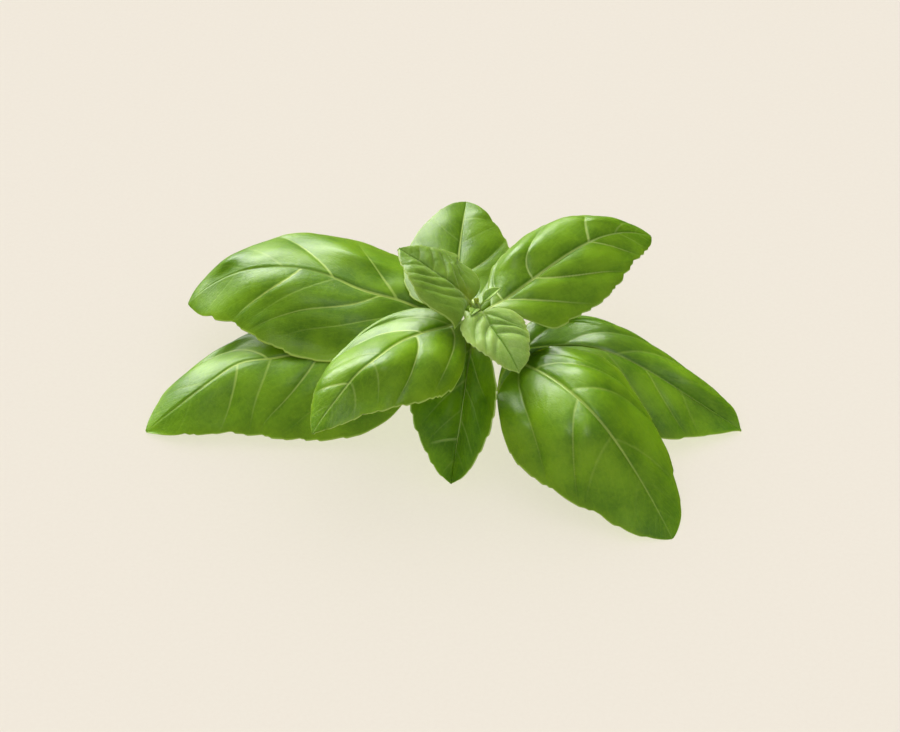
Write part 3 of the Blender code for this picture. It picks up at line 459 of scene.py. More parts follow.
def make_leaf(name, seed):
    leaf, fin = LEAVES[name], FINISH[name]
    (lp, pr), (lb, width) = leaf["petiole"], leaf["blade"]
    total = lp + lb
    base = lp / total
    root = 0.55 * pr + GAP + 0.15
    grid = fin["grid"]
    n_pet = max(5, int(round((lp + root) / (grid * 1.25))))
    n_blade = int(round(lb / grid))
    half = max(9, int(round(width / grid)))
    x = np.linspace(0, 1, n_blade + 1)
    tbs = x + 0.10 * np.sin(2 * np.pi * x) / (2 * np.pi) * -1.0
    s = np.concatenate([-root / total + (base + root / total) * np.linspace(0, 1, n_pet, endpoint=False), base + (1 - base) * tbs])
    u = np.linspace(0, 1, half + 1)
    u = u - 0.3 * np.sin(2 * np.pi * u) / (2 * np.pi)
    v = np.concatenate([-u[:0:-1], u])
    rows, cols, mid = len(s), len(v), half
    tilt = resting_tilt(leaf) if leaf["rests"] else 0.0
    frames1 = midrib(leaf, s, tilt)
    tb1 = frames1[4]
    frames = tuple(np.repeat(f[:, None], cols, 1) if f.ndim == 1 else np.repeat(f[:, None, :], cols, 1) for f in frames1)
    tb = frames[4]
    V = np.repeat(v[None, :], rows, 0)
    sign = np.where(V < 0, -1.0, 1.0)
    sides = np.abs(V)
    X = tb * lb
    blade = np.clip(tb * 14, 0, 1)

    hw = np.repeat(half_width(leaf, tb1)[:, None], cols, 1)
    inset = np.where(V > 0, tooth_inset(X, lb, fin["teeth"], seed * 2 + 1), tooth_inset(X, lb, fin["teeth"], seed * 2 + 2))
    for side, at, deep, run in STEPS.get(name, ()):
        cut = deep * np.clip((X - at) / 0.5, 0, 1) * np.clip(1 - (X - at) / run, 0, 1) ** 1.3
        inset = inset + np.where(np.sign(V) == side, cut, 0.0)
    room = np.clip(hw / (0.25 * width), 0, 1)
    w = sides * hw + (0.35 * fin["teeth"][1] - inset) * sides**14 * blade * room
    for side, at, by, over in LOBES.get(name, ()):
        w = w + np.where(np.sign(V) == side, by * np.exp(-((X - at) / over) ** 2), 0.0) * sides**3 * blade * room
    w = np.maximum(w, 0)
    eta = w
    Y = sign * w
    sway = 0.0
    for at, by, over in SWAYS.get(name, ()):
        sway = sway + by * np.exp(-((X - at) / over) ** 2)
    place = Y + sway * (1 - sides**2) * blade
    Q = mid_surface(leaf, frames, np.abs(place), np.where(place < 0, -1.0, 1.0))

    # unit normals of the mid-surface
    ds = np.gradient(Q, axis=0)
    dv = np.gradient(Q, axis=1)
    N = np.cross(ds, dv)
    N /= np.linalg.norm(N, axis=-1, keepdims=True) + 1e-12

    # relief of the blade
    qs, gaps, powers, rises = [], [], [], []
    for side in (0, 1):
        q, gap, power, rise = vein_field(VEINS[name][side], X, eta)
        qs.append(q), gaps.append(gap), powers.append(power), rises.append(rise)
    left = V >= 0
    q = np.where(left, qs[0], qs[1])
    gap = np.where(left, gaps[0], gaps[1])
    power = np.where(left, powers[0], powers[1])
    rise = np.where(left, rises[0], rises[1])
    frac = q - np.floor(q)
    near = np.minimum(frac, 1 - frac) * gap
    scale = width / 20.0
    edge_fade = 1 - sides**5
    from_rib = 1 - np.exp(-(eta / (0.13 * width + 0.2)) ** 1.2)
    # a dome between veins, cut off less where the vein beside it is weak
    full = np.sin(np.pi * np.clip(frac, 0, 1)) ** 0.8
    weak = 1 - np.clip(power, 0, 1)
    dome = (full + (1 - full) * 0.85 * weak) * np.clip(gap / (0.5 * width), 0.2, 1.2) ** 0.7
    lower = np.interp(tb, (0.0, 0.05, 0.85, 1.0), (0.3, 1.0, 0.8, 0.1))
    puff = fin["puff"] * smooth_steps(rise, q, VEINS[name], left) * dome * edge_fade * from_rib * lower
    crease = -0.13 * power * np.exp(-(near / (0.026 * width + 0.08)) ** 2) * from_rib * (1 - sides**3) * np.clip(1 - tb, 0, 1) ** 0.3 * min(1.0, width / 16)
    rib_w = np.interp(tb, (0, 0.1, 1), (pr * 0.8, pr * 0.7, 0.2 * pr + 0.06))
    rib_deep = fin["groove"] * np.interp(tb, (0, 0.12, 0.7, 1), (0.35, 0.55, 0.3, 0.05))
    valley = -0.6 * rib_deep * np.exp(-(eta / rib_w) ** 2) - 0.5 * rib_deep * np.exp(-(eta / (3.2 * rib_w)) ** 1.5)
    # raised lips on either side of the midrib
    lips = fin.get("lips", 0.06) * np.exp(-((eta - 2.1 * rib_w) / (1.1 * rib_w)) ** 2) * np.clip(tb * 4, 0, 1) * np.clip((1 - tb) * 3, 0, 1)
    wander = 0.3 * scale * layered(X / (0.55 * width), Y / (0.45 * width), seed, 2) * from_rib
    small = fin["pucker"][0] * layered(X / fin["pucker"][1], Y / fin["pucker"][1], seed + 5, 2)
    f1, f2 = cells(X / (0.11 * width + 0.6) + 0.35 * noise(X / 3, Y / 3, seed + 2), Y / (0.11 * width + 0.6), seed + 3)
    net = fin["pucker"][0] * (0.9 if width > 14 else 0.22) * np.clip((f2 - f1) * 2.2, 0, 1) ** 0.7
    wav = fin["wave"]
    ripple = wav[0] * layered(X / (0.5 * wav[1]), sign * 3.7, seed + 9, 2) * sides**4 * np.clip(tb * 6, 0, 1)
    swell = 0.0
    for sx, sy, up, rx, ry in SWELLS.get(name, ()):
        swell = swell + up * np.exp(-((X - sx) / rx) ** 2 - ((Y - sy) / ry) ** 2)
    facing = np.clip(np.abs(N @ np.array(HEAVE)), 0.45, 1)
    heave = (swell * blade * np.clip(tb * fin.get("free", 8), 0, 1) / facing)[..., None] * np.array(HEAVE)
    relief = (puff + crease + valley + lips + wander + (small + net) * (1 - np.exp(-eta / (0.6 * pr + 0.1))) * (1 - 0.6 * sides**8) + ripple) * blade

    # thickness, with ribs below
    round_t = 2 * pr * np.sqrt(np.clip(1 - sides**2, 0.0005, 1))
    flat_t = np.minimum(BLADE_T, pr) + (RIM_T - BLADE_T) * sides * (pr > 0.4)
    above = np.where(tb < 0, 0.5 * round_t, 0.5 * (round_t * (1 - blade) + flat_t * blade))
    rib_r = pr * np.clip(1 - tb, 0, 1) ** 0.75 * 1.05 + 0.1
    rib = 1.7 * rib_r * np.sqrt(np.clip(1 - (eta / (1.25 * rib_r)) ** 2, 0, 1)) + 0.35 * rib_r * np.exp(-(eta / (2.0 * rib_r)) ** 2)
    lat_w = (0.022 * width + 0.12) * np.clip(1 - 0.6 * sides, 0.3, 1)
    lat = 0.7 * lat_w * 1.6 * power * np.exp(-(near / lat_w) ** 2) * (1 - sides**2) * np.clip(1 - tb, 0, 1) ** 0.4
    netrib = 0.25 * fin["pucker"][0] * np.exp(-((f2 - f1) / 0.1) ** 2)
    below = np.where(tb < 0, 0.5 * round_t, 0.5 * (round_t * (1 - blade) + flat_t * blade) + (np.maximum(rib * (1 - np.clip(tb, 0, 1) * 0.4) - 0.5 * flat_t, 0) + lat + netrib) * blade)
    channel = -0.28 * pr * np.exp(-(V / 0.42) ** 2) * (1 - blade)
    top_pts = Q + heave + N * (relief + channel + above)[..., None]
    low_pts = Q + heave + N * (relief - below)[..., None]
    if name.startswith("tip"):
        low_pts = Q + N * (relief - above)[..., None]

    # margin strip, rounded
    loop = ([(i, cols - 1) for i in range(rows)] + [(rows - 1, j) for j in range(cols - 2, -1, -1)]
            + [(i, 0) for i in range(rows - 2, -1, -1)] + [(0, j) for j in range(1, cols - 1)])
    li = np.array([p[0] for p in loop])
    lj = np.array([p[1] for p in loop])
    inner_i = np.clip(li, 1, rows - 2)
    inner_j = np.clip(lj, 1, cols - 2)
    out = Q[li, lj] - Q[inner_i, inner_j]
    out /= np.linalg.norm(out, axis=-1, keepdims=True) + 1e-12
    mid_edge = 0.5 * (top_pts[li, lj] + low_pts[li, lj])
    thick = np.linalg.norm(top_pts[li, lj] - low_pts[li, lj], axis=-1, keepdims=True)
    rim_pts = mid_edge + out * thick * 0.38

    nv = rows * cols
    verts = np.concatenate([top_pts.reshape(-1, 3), low_pts.reshape(-1, 3), rim_pts])
    if leaf["z"] < 40:
        z = verts[:, 2]
        verts[:, 2] = np.where(z < 3, 0.04 + 0.5 * (z + np.sqrt(z * z + 0.02)) - 0.01 * np.clip(z / 3, 0, 1) * 0, z)
    ii, jj = np.meshgrid(np.arange(rows - 1), np.arange(cols - 1), indexing="ij")
    ii, jj = ii.ravel(), jj.ravel()
    idx = lambda i, j: i * cols + j
    top_f = np.stack([idx(ii, jj), idx(ii + 1, jj), idx(ii + 1, jj + 1), idx(ii, jj + 1)], -1)
    low_f = nv + top_f[:, ::-1]
    n = len(loop)
    k = np.arange(n)
    k2 = (k + 1) % n
    ta = idx(li, lj)
    ra = 2 * nv + k
    rim_a = np.stack([ta[k], ta[k2], ra[k2], ra[k]], -1)
    rim_b = np.stack([ra[k], ra[k2], nv + ta[k2], nv + ta[k]], -1)
    quads = np.concatenate([top_f, low_f, rim_a, rim_b])
    face_mat = np.concatenate([np.zeros(len(top_f)), np.ones(len(low_f)), np.zeros(n), np.ones(n)])

    # corner data: a face lies wholly on one side of the midrib
    face_left = np.concatenate([jj >= mid, jj >= mid, np.repeat(False, 2 * n)])
    rim_left = np.minimum(lj[k], lj[k2]) >= mid
    face_left[len(top_f) * 2:len(top_f) * 2 + n] = rim_left
    face_left[len(top_f) * 2 + n:] = rim_left
    grid_of = np.concatenate([np.arange(nv), np.arange(nv), ta])      # each vertex's grid point
    corner = grid_of[quads]
    on_left = np.repeat(face_left[:, None], 4, 1)
    pick = lambda L, R: np.where(on_left, L.ravel()[corner], R.ravel()[corner])
    xs, ys = X.ravel()[corner], Y.ravel()[corner]
    uvs = {
        "leaf": np.stack([xs, ys], -1).reshape(-1, 2),
        "vein": np.stack([pick(qs[0], qs[1]) + np.where(on_left, 0.0, 20.0), pick(gaps[0], gaps[1])], -1).reshape(-1, 2),
        "form": np.stack([pick(powers[0], powers[1]) * fin["lines"], sides.ravel()[corner]], -1).reshape(-1, 2),
    }
    # the relief height goes to the shader as dome, where it paints light on the raised domes and shade in the hollows
    hollow = (relief - (wander + ripple) * blade).ravel()
    near_base, fades_at, far_off = fin["rib"]
    rib_tone = np.interp(X, (-1, fades_at - 0.06 * lb, fades_at + 0.06 * lb), (near_base, near_base, far_off)) + 0 * X
    points = {
        "pale_rib": rib_tone.ravel()[grid_of],
        "along": tb.ravel()[grid_of],
        "dome": (hollow / (fin["puff"] + 1e-6))[grid_of],
        "out": (eta / width).ravel()[grid_of],
    }
    mats = leaf_materials(name)
    ob = new_mesh(name + "_blade", verts, quads, np.zeros((0, 3), int), mats, face_mat, uvs, points)
    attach(ob, "root")
    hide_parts(name)
    return ob


# ------------------------------------------------------------------ materials
class Nodes:
    """Short calls for building a material's nodes."""

    def __init__(self, name):
        self.mat = bpy.data.materials.new(name)
        self.mat.use_nodes = True
        self.nt = self.mat.node_tree
        self.nt.nodes.clear()
        self.out = self.nt.nodes.new("ShaderNodeOutputMaterial")

    def node(self, kind, **props):
        n = self.nt.nodes.new(kind)
        for k, val in props.items():
            setattr(n, k, val)
        return n

    def put(self, socket, value):
        if hasattr(value, "is_linked") or isinstance(value, bpy.types.NodeSocket):
            self.nt.links.new(value, socket)
        elif isinstance(value, (tuple, list)) and len(value) == 3 and socket.type == "RGBA":
            socket.default_value = (*value, 1.0)
        else:
            socket.default_value = value

    def math(self, op, a, b=0.0, c=0.0, clamp=False):
        n = self.node("ShaderNodeMath", operation=op, use_clamp=clamp)
        for s, val in zip(n.inputs, (a, b, c)):
            self.put(s, val)
        return n.outputs[0]

    def mul(self, a, b):
        return self.math("MULTIPLY", a, b)

    def add(self, a, b):
        return self.math("ADD", a, b)

    def ramp(self, x, lo, hi, a=0.0, b=1.0, kind="SMOOTHSTEP"):
        n = self.node("ShaderNodeMapRange", interpolation_type=kind)
        for s, val in zip(n.inputs, (x, lo, hi, a, b)):
            self.put(s, val)
        return n.outputs[0]

    def mix(self, f, a, b, kind="MIX"):
        n = self.node("ShaderNodeMix", data_type="RGBA", blend_type=kind)
        n.clamp_factor = True
        self.put(n.inputs[0], f)
        self.put(n.inputs[6], a)
        self.put(n.inputs[7], b)
        return n.outputs[2]

    def uv(self, name):
        n = self.node("ShaderNodeUVMap")
        n.uv_map = name
        sp = self.node("ShaderNodeSeparateXYZ")
        self.put(sp.inputs[0], n.outputs[0])
        return n.outputs[0], sp.outputs[0], sp.outputs[1]

    def point(self, name):
        n = self.node("ShaderNodeAttribute", attribute_name=name, attribute_type="GEOMETRY")
        return n.outputs["Fac"]

    def vector(self, x, y, z=0.0):
        n = self.node("ShaderNodeCombineXYZ")
        for s, val in zip(n.inputs, (x, y, z)):
            self.put(s, val)
        return n.outputs[0]

    def noise(self, vec, scale, detail=2.0, rough=0.5, dims="3D"):
        n = self.node("ShaderNodeTexNoise", noise_dimensions=dims)
        self.put(n.inputs["Vector"], vec)
        self.put(n.inputs["Scale"], scale)
        self.put(n.inputs["Detail"], detail)
        self.put(n.inputs["Roughness"], rough)
        return n.outputs["Fac"]

    def voronoi(self, vec, scale, feature="DISTANCE_TO_EDGE", dims="2D", randomness=1.0):
        n = self.node("ShaderNodeTexVoronoi", feature=feature, voronoi_dimensions=dims)
        self.put(n.inputs["Vector"], vec)
        self.put(n.inputs["Scale"], scale)
        self.put(n.inputs["Randomness"], randomness)
        return n.outputs["Distance"]

    def bump(self, height, distance, strength=1.0, normal=None):
        n = self.node("ShaderNodeBump")
        self.put(n.inputs["Height"], height)
        self.put(n.inputs["Distance"], distance)
        self.put(n.inputs["Strength"], strength)
        if normal is not None:
            self.put(n.inputs["Normal"], normal)
        return n.outputs[0]

    def principled(self, colour, roughness, normal=None, **sockets):
        n = self.node("ShaderNodeBsdfPrincipled")
        self.put(n.inputs["Base Color"], colour)
        self.put(n.inputs["Roughness"], roughness)
        if normal is not None:
            self.put(n.inputs["Normal"], normal)
        for k, val in sockets.items():
            self.put(n.inputs[k.replace("_", " ")], val)
        self.nt.links.new(n.outputs[0], self.out.inputs["Surface"])
        return n


# colours are linear: base green, its lighter and yellower relative, and veins
TONES = {
    "mature": dict(deep=(0.083, 0.209, 0.0006), light=(0.201, 0.384, 0.003), vein=(0.50, 0.66, 0.13), net=(0.27, 0.45, 0.008), base=(0.30, 0.46, 0.03), rough=0.36, young=0.0, shine=0.60),
    "upper": dict(deep=(0.082, 0.200, 0.0006), light=(0.188, 0.355, 0.004), vein=(0.52, 0.67, 0.17), net=(0.27, 0.45, 0.012), base=(0.34, 0.50, 0.06), rough=0.37, young=0.25),
    "back": dict(deep=(0.105, 0.215, 0.005), light=(0.190, 0.335, 0.020), vein=(0.42, 0.54, 0.12), net=(0.26, 0.42, 0.05), base=(0.27, 0.37, 0.003), rough=0.42, young=0.6),
    "young": dict(deep=(0.205, 0.370, 0.038), light=(0.325, 0.500, 0.092), vein=(0.50, 0.64, 0.22), net=(0.43, 0.59, 0.17), base=(0.34, 0.48, 0.05), rough=0.46, young=1.0),
    "lower": dict(deep=(0.082, 0.206, 0.0006), light=(0.198, 0.378, 0.003), vein=(0.47, 0.63, 0.12), net=(0.27, 0.45, 0.008), base=(0.30, 0.46, 0.03), rough=0.39, young=0.0, shine=0.34),
    "broad": dict(deep=(0.072, 0.184, 0.0004), light=(0.174, 0.336, 0.002), vein=(0.47, 0.62, 0.11), net=(0.25, 0.42, 0.006), base=(0.28, 0.43, 0.02), rough=0.38, young=0.0, shine=0.36),
    "rear": dict(deep=(0.066, 0.163, 0.0004), light=(0.154, 0.296, 0.002), vein=(0.50, 0.65, 0.15), net=(0.25, 0.42, 0.008), base=(0.26, 0.42, 0.03), rough=0.40, young=0.1, shine=0.36),
    "front": dict(deep=(0.062, 0.178, 0.0004), light=(0.165, 0.345, 0.002), vein=(0.55, 0.72, 0.20), net=(0.24, 0.44, 0.006), base=(0.24, 0.19, 0.012), rough=0.34, young=0.0),
    "tip": dict(deep=(0.150, 0.310, 0.020), light=(0.270, 0.450, 0.055), vein=(0.40, 0.56, 0.14), net=(0.36, 0.52, 0.10), base=(0.32, 0.43, 0.02), rough=0.44, young=0.9),
}
TONE_OF = {"inner_leaf_front": "young", "inner_leaf_back": "back", "tip_leaf_right": "tip", "tip_leaf_left": "tip",
           "upper_leaf_left": "upper", "upper_leaf_right": "upper", "back_leaf": "rear", "front_leaf": "front", "middle_leaf_left": "broad", "lower_leaf_left": "lower"}
made = {}


def leaf_materials(name):
    tone = TONE_OF.get(name, "mature")
    width = LEAVES[name]["blade"][1]
    size = "large" if width > 20 else "medium" if width > 13.5 else "small" if width > 5 else "tiny"
    key = f"{tone}_{size}"
    if key not in made:
        made[key] = (upper_skin("leaf_top_" + key, TONES[tone], size), lower_skin("leaf_under_" + key, TONES[tone], size))
    return made[key]


def vein_lines(k, size):
    """Shared by both faces: distances in mm to the midrib and the side veins."""
    scale = {"large": 1.0, "medium": 0.85, "small": 0.55, "tiny": 0.2}[size]
    vec, x, y = k.uv("leaf")
    _, q, gap = k.uv("vein")
    _, power, edge = k.uv("form")
    along = k.point("along")
    out = k.point("out")
    wob = k.noise(k.vector(x, y, 0.0), 0.35 / scale, 2.0, 0.5)
    wob = k.mul(k.math("SUBTRACT", wob, 0.5), 0.55 * scale)
    near = k.mul(k.math("PINGPONG", q, 0.5), gap)
    near = k.math("ABSOLUTE", k.add(near, k.mul(wob, 0.35)))
    rib = k.math("ABSOLUTE", y)
    return scale, vec, x, y, q, gap, power, edge, along, out, near, rib


def upper_skin(name, tone, size):
    k = Nodes(name)
    scale, vec, x, y, q, gap, power, edge, along, out, near, rib = vein_lines(k, size)
    dome = k.point("dome")
    # side veins: pale, thinning and fading to the margin
    lat_w = k.ramp(edge, 0.0, 0.8, 0.55 * scale, 0.22 * scale, "LINEAR")
    line = k.ramp(near, k.mul(lat_w, 0.2), lat_w, 1.0, 0.0)
    fade = k.ramp(edge, 0.35, 0.97, 1.0, 0.05)
    lateral = k.mul(k.mul(line, fade), k.ramp(power, 0.1, 1.0, 0.04, 0.7, "LINEAR"))
    lateral = k.mul(lateral, k.ramp(along, 0.0, 0.03, 0.0, 1.0))
    rib_w = k.ramp(along, 0.0, 1.0, 0.75 * scale, 0.2 * scale, "LINEAR")
    main = k.mul(k.ramp(rib, k.mul(rib_w, 0.35), rib_w, 1.0, 0.0), k.ramp(along, 0.8, 1.0, 1.0, 0.35))
    # fine net, drawn out along the side veins
    wob = k.noise(vec, 0.8 / scale, 2.0, 0.5)
    netvec = k.vector(k.add(k.mul(q, 3.1), k.mul(wob, 0.8)), k.add(k.mul(rib, 0.32 / scale), k.mul(wob, 0.9)))
    net = k.voronoi(netvec, 1.0)
    net2 = k.voronoi(k.vector(k.add(k.mul(x, 0.8 / scale), wob), k.mul(y, 0.8 / scale)), 1.0)
    netline = k.add(k.ramp(net, 0.0, 0.10, 1.0, 0.0), k.mul(k.ramp(net2, 0.0, 0.12, 1.0, 0.0), 0.5))
    # colour
    big = k.noise(vec, 0.07 / scale, 3.0, 0.55)
    fine = k.noise(vec, 0.9 / scale, 3.0, 0.6)
    grain = k.noise(vec, 4.5 / scale, 2.0, 0.6)
    shade = k.add(k.mul(big, 0.75), k.mul(fine, 0.25))
    # painted light and shade: lighter on the raised domes, darker in the hollows and along the veins between them
    shade = k.add(shade, k.mul(k.ramp(dome, -0.4, 0.8, -0.5, 0.5, "LINEAR"), 0.22))
    colour = k.mix(k.ramp(shade, 0.32, 0.72), tone["deep"], tone["light"])
    colour = k.mix(k.mul(k.ramp(grain, 0.35, 0.75), 0.10), colour, tone["light"])
    yellow = tuple(c * f for c, f in zip(tone["light"], (1.35, 1.12, 0.9)))
    colour = k.mix(k.mul(k.ramp(edge, 0.72, 1.0), 0.35), colour, yellow)
    inner = size == "small" and tone["young"] < 1
    tint = k.mul(k.ramp(along, 0.36 if inner else 0.14, 0.0), k.ramp(out, 0.03, 0.30 if inner else 0.55, 1.0, 0.0 if inner else 0.7))
    colour = k.mix(k.mul(tint, 0.85 if inner else 0.45), colour, tone["base"])
    colour = k.mix(k.mul(netline, 0.16 + 0.1 * tone["young"]), colour, tone["net"])
    colour = k.mix(lateral, colour, tone["vein"])
    # the midrib painted pale: its own pale tissue, and on front_leaf partly a painted highlight
    colour = k.mix(k.mul(main, k.mul(k.point("pale_rib"), 0.8)), colour, tone["vein"])
    colour = k.mix(k.mul(k.ramp(edge, 0.972, 0.996), 0.6), colour, tone["vein"])
    # relief too fine for the mesh
    streak = k.noise(k.vector(k.mul(q, 26.0), k.mul(rib, 0.22 / scale)), 1.0, 2.0, 0.6)
    cell = k.voronoi(vec, 3.2 / scale, "F1")
    height = k.add(k.mul(k.ramp(net, 0.0, 0.16, 0.0, 1.0), 0.5), k.mul(k.ramp(net2, 0.0, 0.2, 0.0, 1.0), 0.35))
    height = k.add(height, k.add(k.mul(streak, 0.5), k.mul(grain, 0.25)))
    height = k.add(height, k.mul(cell, -0.12))
    height = k.math("SUBTRACT", height, k.mul(lateral, 0.9))
    normal = k.bump(height, 0.000036 * scale + 0.000006, 0.75)
    rough = k.ramp(k.add(k.mul(fine, 0.6), k.mul(grain, 0.4)), 0.2, 0.8, tone["rough"] - 0.06, tone["rough"] + 0.08, "LINEAR")
    rough = k.add(rough, k.mul(k.math("MAXIMUM", lateral, main), 0.08))
    b = k.principled(colour, rough, normal)
    b.inputs["Specular IOR Level"].default_value = tone.get("shine", 0.40)
    b.inputs["Subsurface Weight"].default_value = 0.2
    b.inputs["Subsurface Radius"].default_value = (0.7, 1.0, 0.1)
    b.inputs["Subsurface Scale"].default_value = 0.0012
    if tone["young"] > 0.5:
        b.inputs["Sheen Weight"].default_value = 0.25
        b.inputs["Sheen Roughness"].default_value = 0.4
        b.inputs["Sheen Tint"].default_value = (0.8, 1.0, 0.6, 1.0)
    return k.mat


def lower_skin(name, tone, size):
    k = Nodes(name)
    scale, vec, x, y, q, gap, power, edge, along, out, near, rib = vein_lines(k, size)
    pale = tuple(0.45 * a + 0.55 * b for a, b in zip(tone["light"], (0.30, 0.42, 0.17)))
    dull = tuple(0.55 * a + 0.45 * b for a, b in zip(tone["deep"], (0.24, 0.36, 0.13)))
    lat_w = k.ramp(edge, 0.0, 1.0, 0.60 * scale, 0.2 * scale, "LINEAR")
    lateral = k.mul(k.mul(k.ramp(near, k.mul(lat_w, 0.3), lat_w, 1.0, 0.0), k.ramp(edge, 0.5, 0.97, 1.0, 0.1)), k.ramp(power, 0.2, 1.1, 0.2, 0.9, "LINEAR"))
    rib_w = k.ramp(along, 0.0, 1.0, 1.5 * scale, 0.35 * scale, "LINEAR")
    main = k.ramp(rib, k.mul(rib_w, 0.6), rib_w, 1.0, 0.0)
    wob = k.noise(vec, 0.8 / scale, 2.0, 0.5)
    net = k.voronoi(k.vector(k.add(k.mul(x, 0.62 / scale), wob), k.mul(y, 0.62 / scale)), 1.0)
    netline = k.ramp(net, 0.0, 0.09, 1.0, 0.0)
    big = k.noise(vec, 0.09 / scale, 3.0, 0.55)
    grain = k.noise(vec, 5.0 / scale, 2.0, 0.6)
    colour = k.mix(k.ramp(k.add(k.mul(big, 0.8), k.mul(grain, 0.2)), 0.3, 0.72), dull, pale)
    colour = k.mix(k.mul(netline, 0.3), colour, tone["vein"])
    colour = k.mix(lateral, colour, tone["vein"])
    colour = k.mix(k.mul(main, 0.85), colour, tone["vein"])
    dots = k.voronoi(vec, 1.7 / scale, "F1")
    colour = k.mix(k.mul(k.ramp(dots, 0.05, 0.13, 1.0, 0.0), 0.35), colour, tuple(c * 0.6 for c in dull))
    height = k.add(k.mul(netline, 0.6), k.mul(grain, 0.35))
    height = k.math("SUBTRACT", height, k.mul(k.ramp(dots, 0.04, 0.14, 1.0, 0.0), 0.4))
    normal = k.bump(height, 0.00010 * scale + 0.00001, 0.8)
    b = k.principled(colour, 0.58, normal)
    b.inputs["Specular IOR Level"].default_value = 0.4
    b.inputs["Subsurface Weight"].default_value = 0.25
    b.inputs["Subsurface Radius"].default_value = (0.7, 1.0, 0.1)
    b.inputs["Subsurface Scale"].default_value = 0.0012
    return k.mat


def stem_skin():
    k = Nodes("stem_skin")
    cut = k.point("cut")
    depth = k.point("depth")
    _, u, a = k.uv("around")
    tc = k.node("ShaderNodeTexCoord").outputs["Object"]
    streak = k.noise(k.vector(k.mul(a, 26.0), k.mul(u, 0.16)), 1.0, 4.0, 0.6)
    blotch = k.noise(tc, 160.0, 3.0, 0.55)
    fine = k.noise(tc, 2400.0, 2.0, 0.6)
    colour = k.mix(k.ramp(streak, 0.3, 0.7), (0.175, 0.300, 0.035), (0.330, 0.455, 0.095))
    colour = k.mix(k.mul(k.ramp(blotch, 0.45, 0.75), 0.4), colour, (0.150, 0.270, 0.022))
    colour = k.mix(k.mul(k.ramp(k.voronoi(tc, 1500.0, "F1", "3D"), 0.05, 0.25, 1.0, 0.0), 0.25), colour, (0.42, 0.52, 0.18))
    # cut end: green skin, paler ring of bundles, moist whitish pith
    ring = k.ramp(k.point("radius"), 0.62, 0.86)
    pith = k.mix(k.ramp(k.noise(tc, 3000.0, 3.0, 0.6), 0.3, 0.7), (0.38, 0.44, 0.21), (0.50, 0.55, 0.32))
    bundles = k.ramp(k.noise(k.vector(k.mul(a, 16.0), 0.0), 1.0, 1.0, 0.5), 0.45, 0.6)
    face = k.mix(ring, pith, k.mix(bundles, (0.30, 0.42, 0.10), (0.46, 0.52, 0.20)))
    colour = k.mix(cut, colour, face)
    height = k.add(k.mul(streak, 0.8), k.add(k.mul(fine, 0.35), k.mul(cut, k.mul(fine, 0.6))))
    normal = k.bump(height, 0.00012, 0.8)
    rough = k.add(0.42, k.mul(fine, 0.12))
    b = k.principled(colour, k.math("SUBTRACT", rough, k.mul(cut, 0.14)), normal)
    b.inputs["Specular IOR Level"].default_value = 0.5
    b.inputs["Subsurface Weight"].default_value = 0.3
    b.inputs["Subsurface Radius"].default_value = (0.8, 1.0, 0.2)
    b.inputs["Subsurface Scale"].default_value = 0.0015
    return k.mat


def bud_skin(name, deep, light):
    k = Nodes(name)
    tc = k.node("ShaderNodeTexCoord").outputs["Object"]
    painted_light = k.point("painted_light")
    mott = k.noise(tc, 900.0, 3.0, 0.6)
    fine = k.noise(tc, 4200.0, 2.0, 0.6)
    # painted light and shade: lighter towards the tips, darker at the foot and inside the scales
    shade = k.add(k.mul(painted_light, 0.6), k.mul(mott, 0.5))
    colour = k.mix(k.ramp(shade, 0.25, 0.85), deep, light)
    normal = k.bump(k.add(mott, k.mul(fine, 0.5)), 0.00006, 0.8)
    b = k.principled(colour, k.ramp(fine, 0.2, 0.8, 0.42, 0.6, "LINEAR"), normal)
    b.inputs["Subsurface Weight"].default_value = 0.3
    b.inputs["Subsurface Radius"].default_value = (0.8, 1.0, 0.15)
    b.inputs["Subsurface Scale"].default_value = 0.0009
    b.inputs["Sheen Weight"].default_value = 0.2
    b.inputs["Sheen Roughness"].default_value = 0.4
    return k.mat


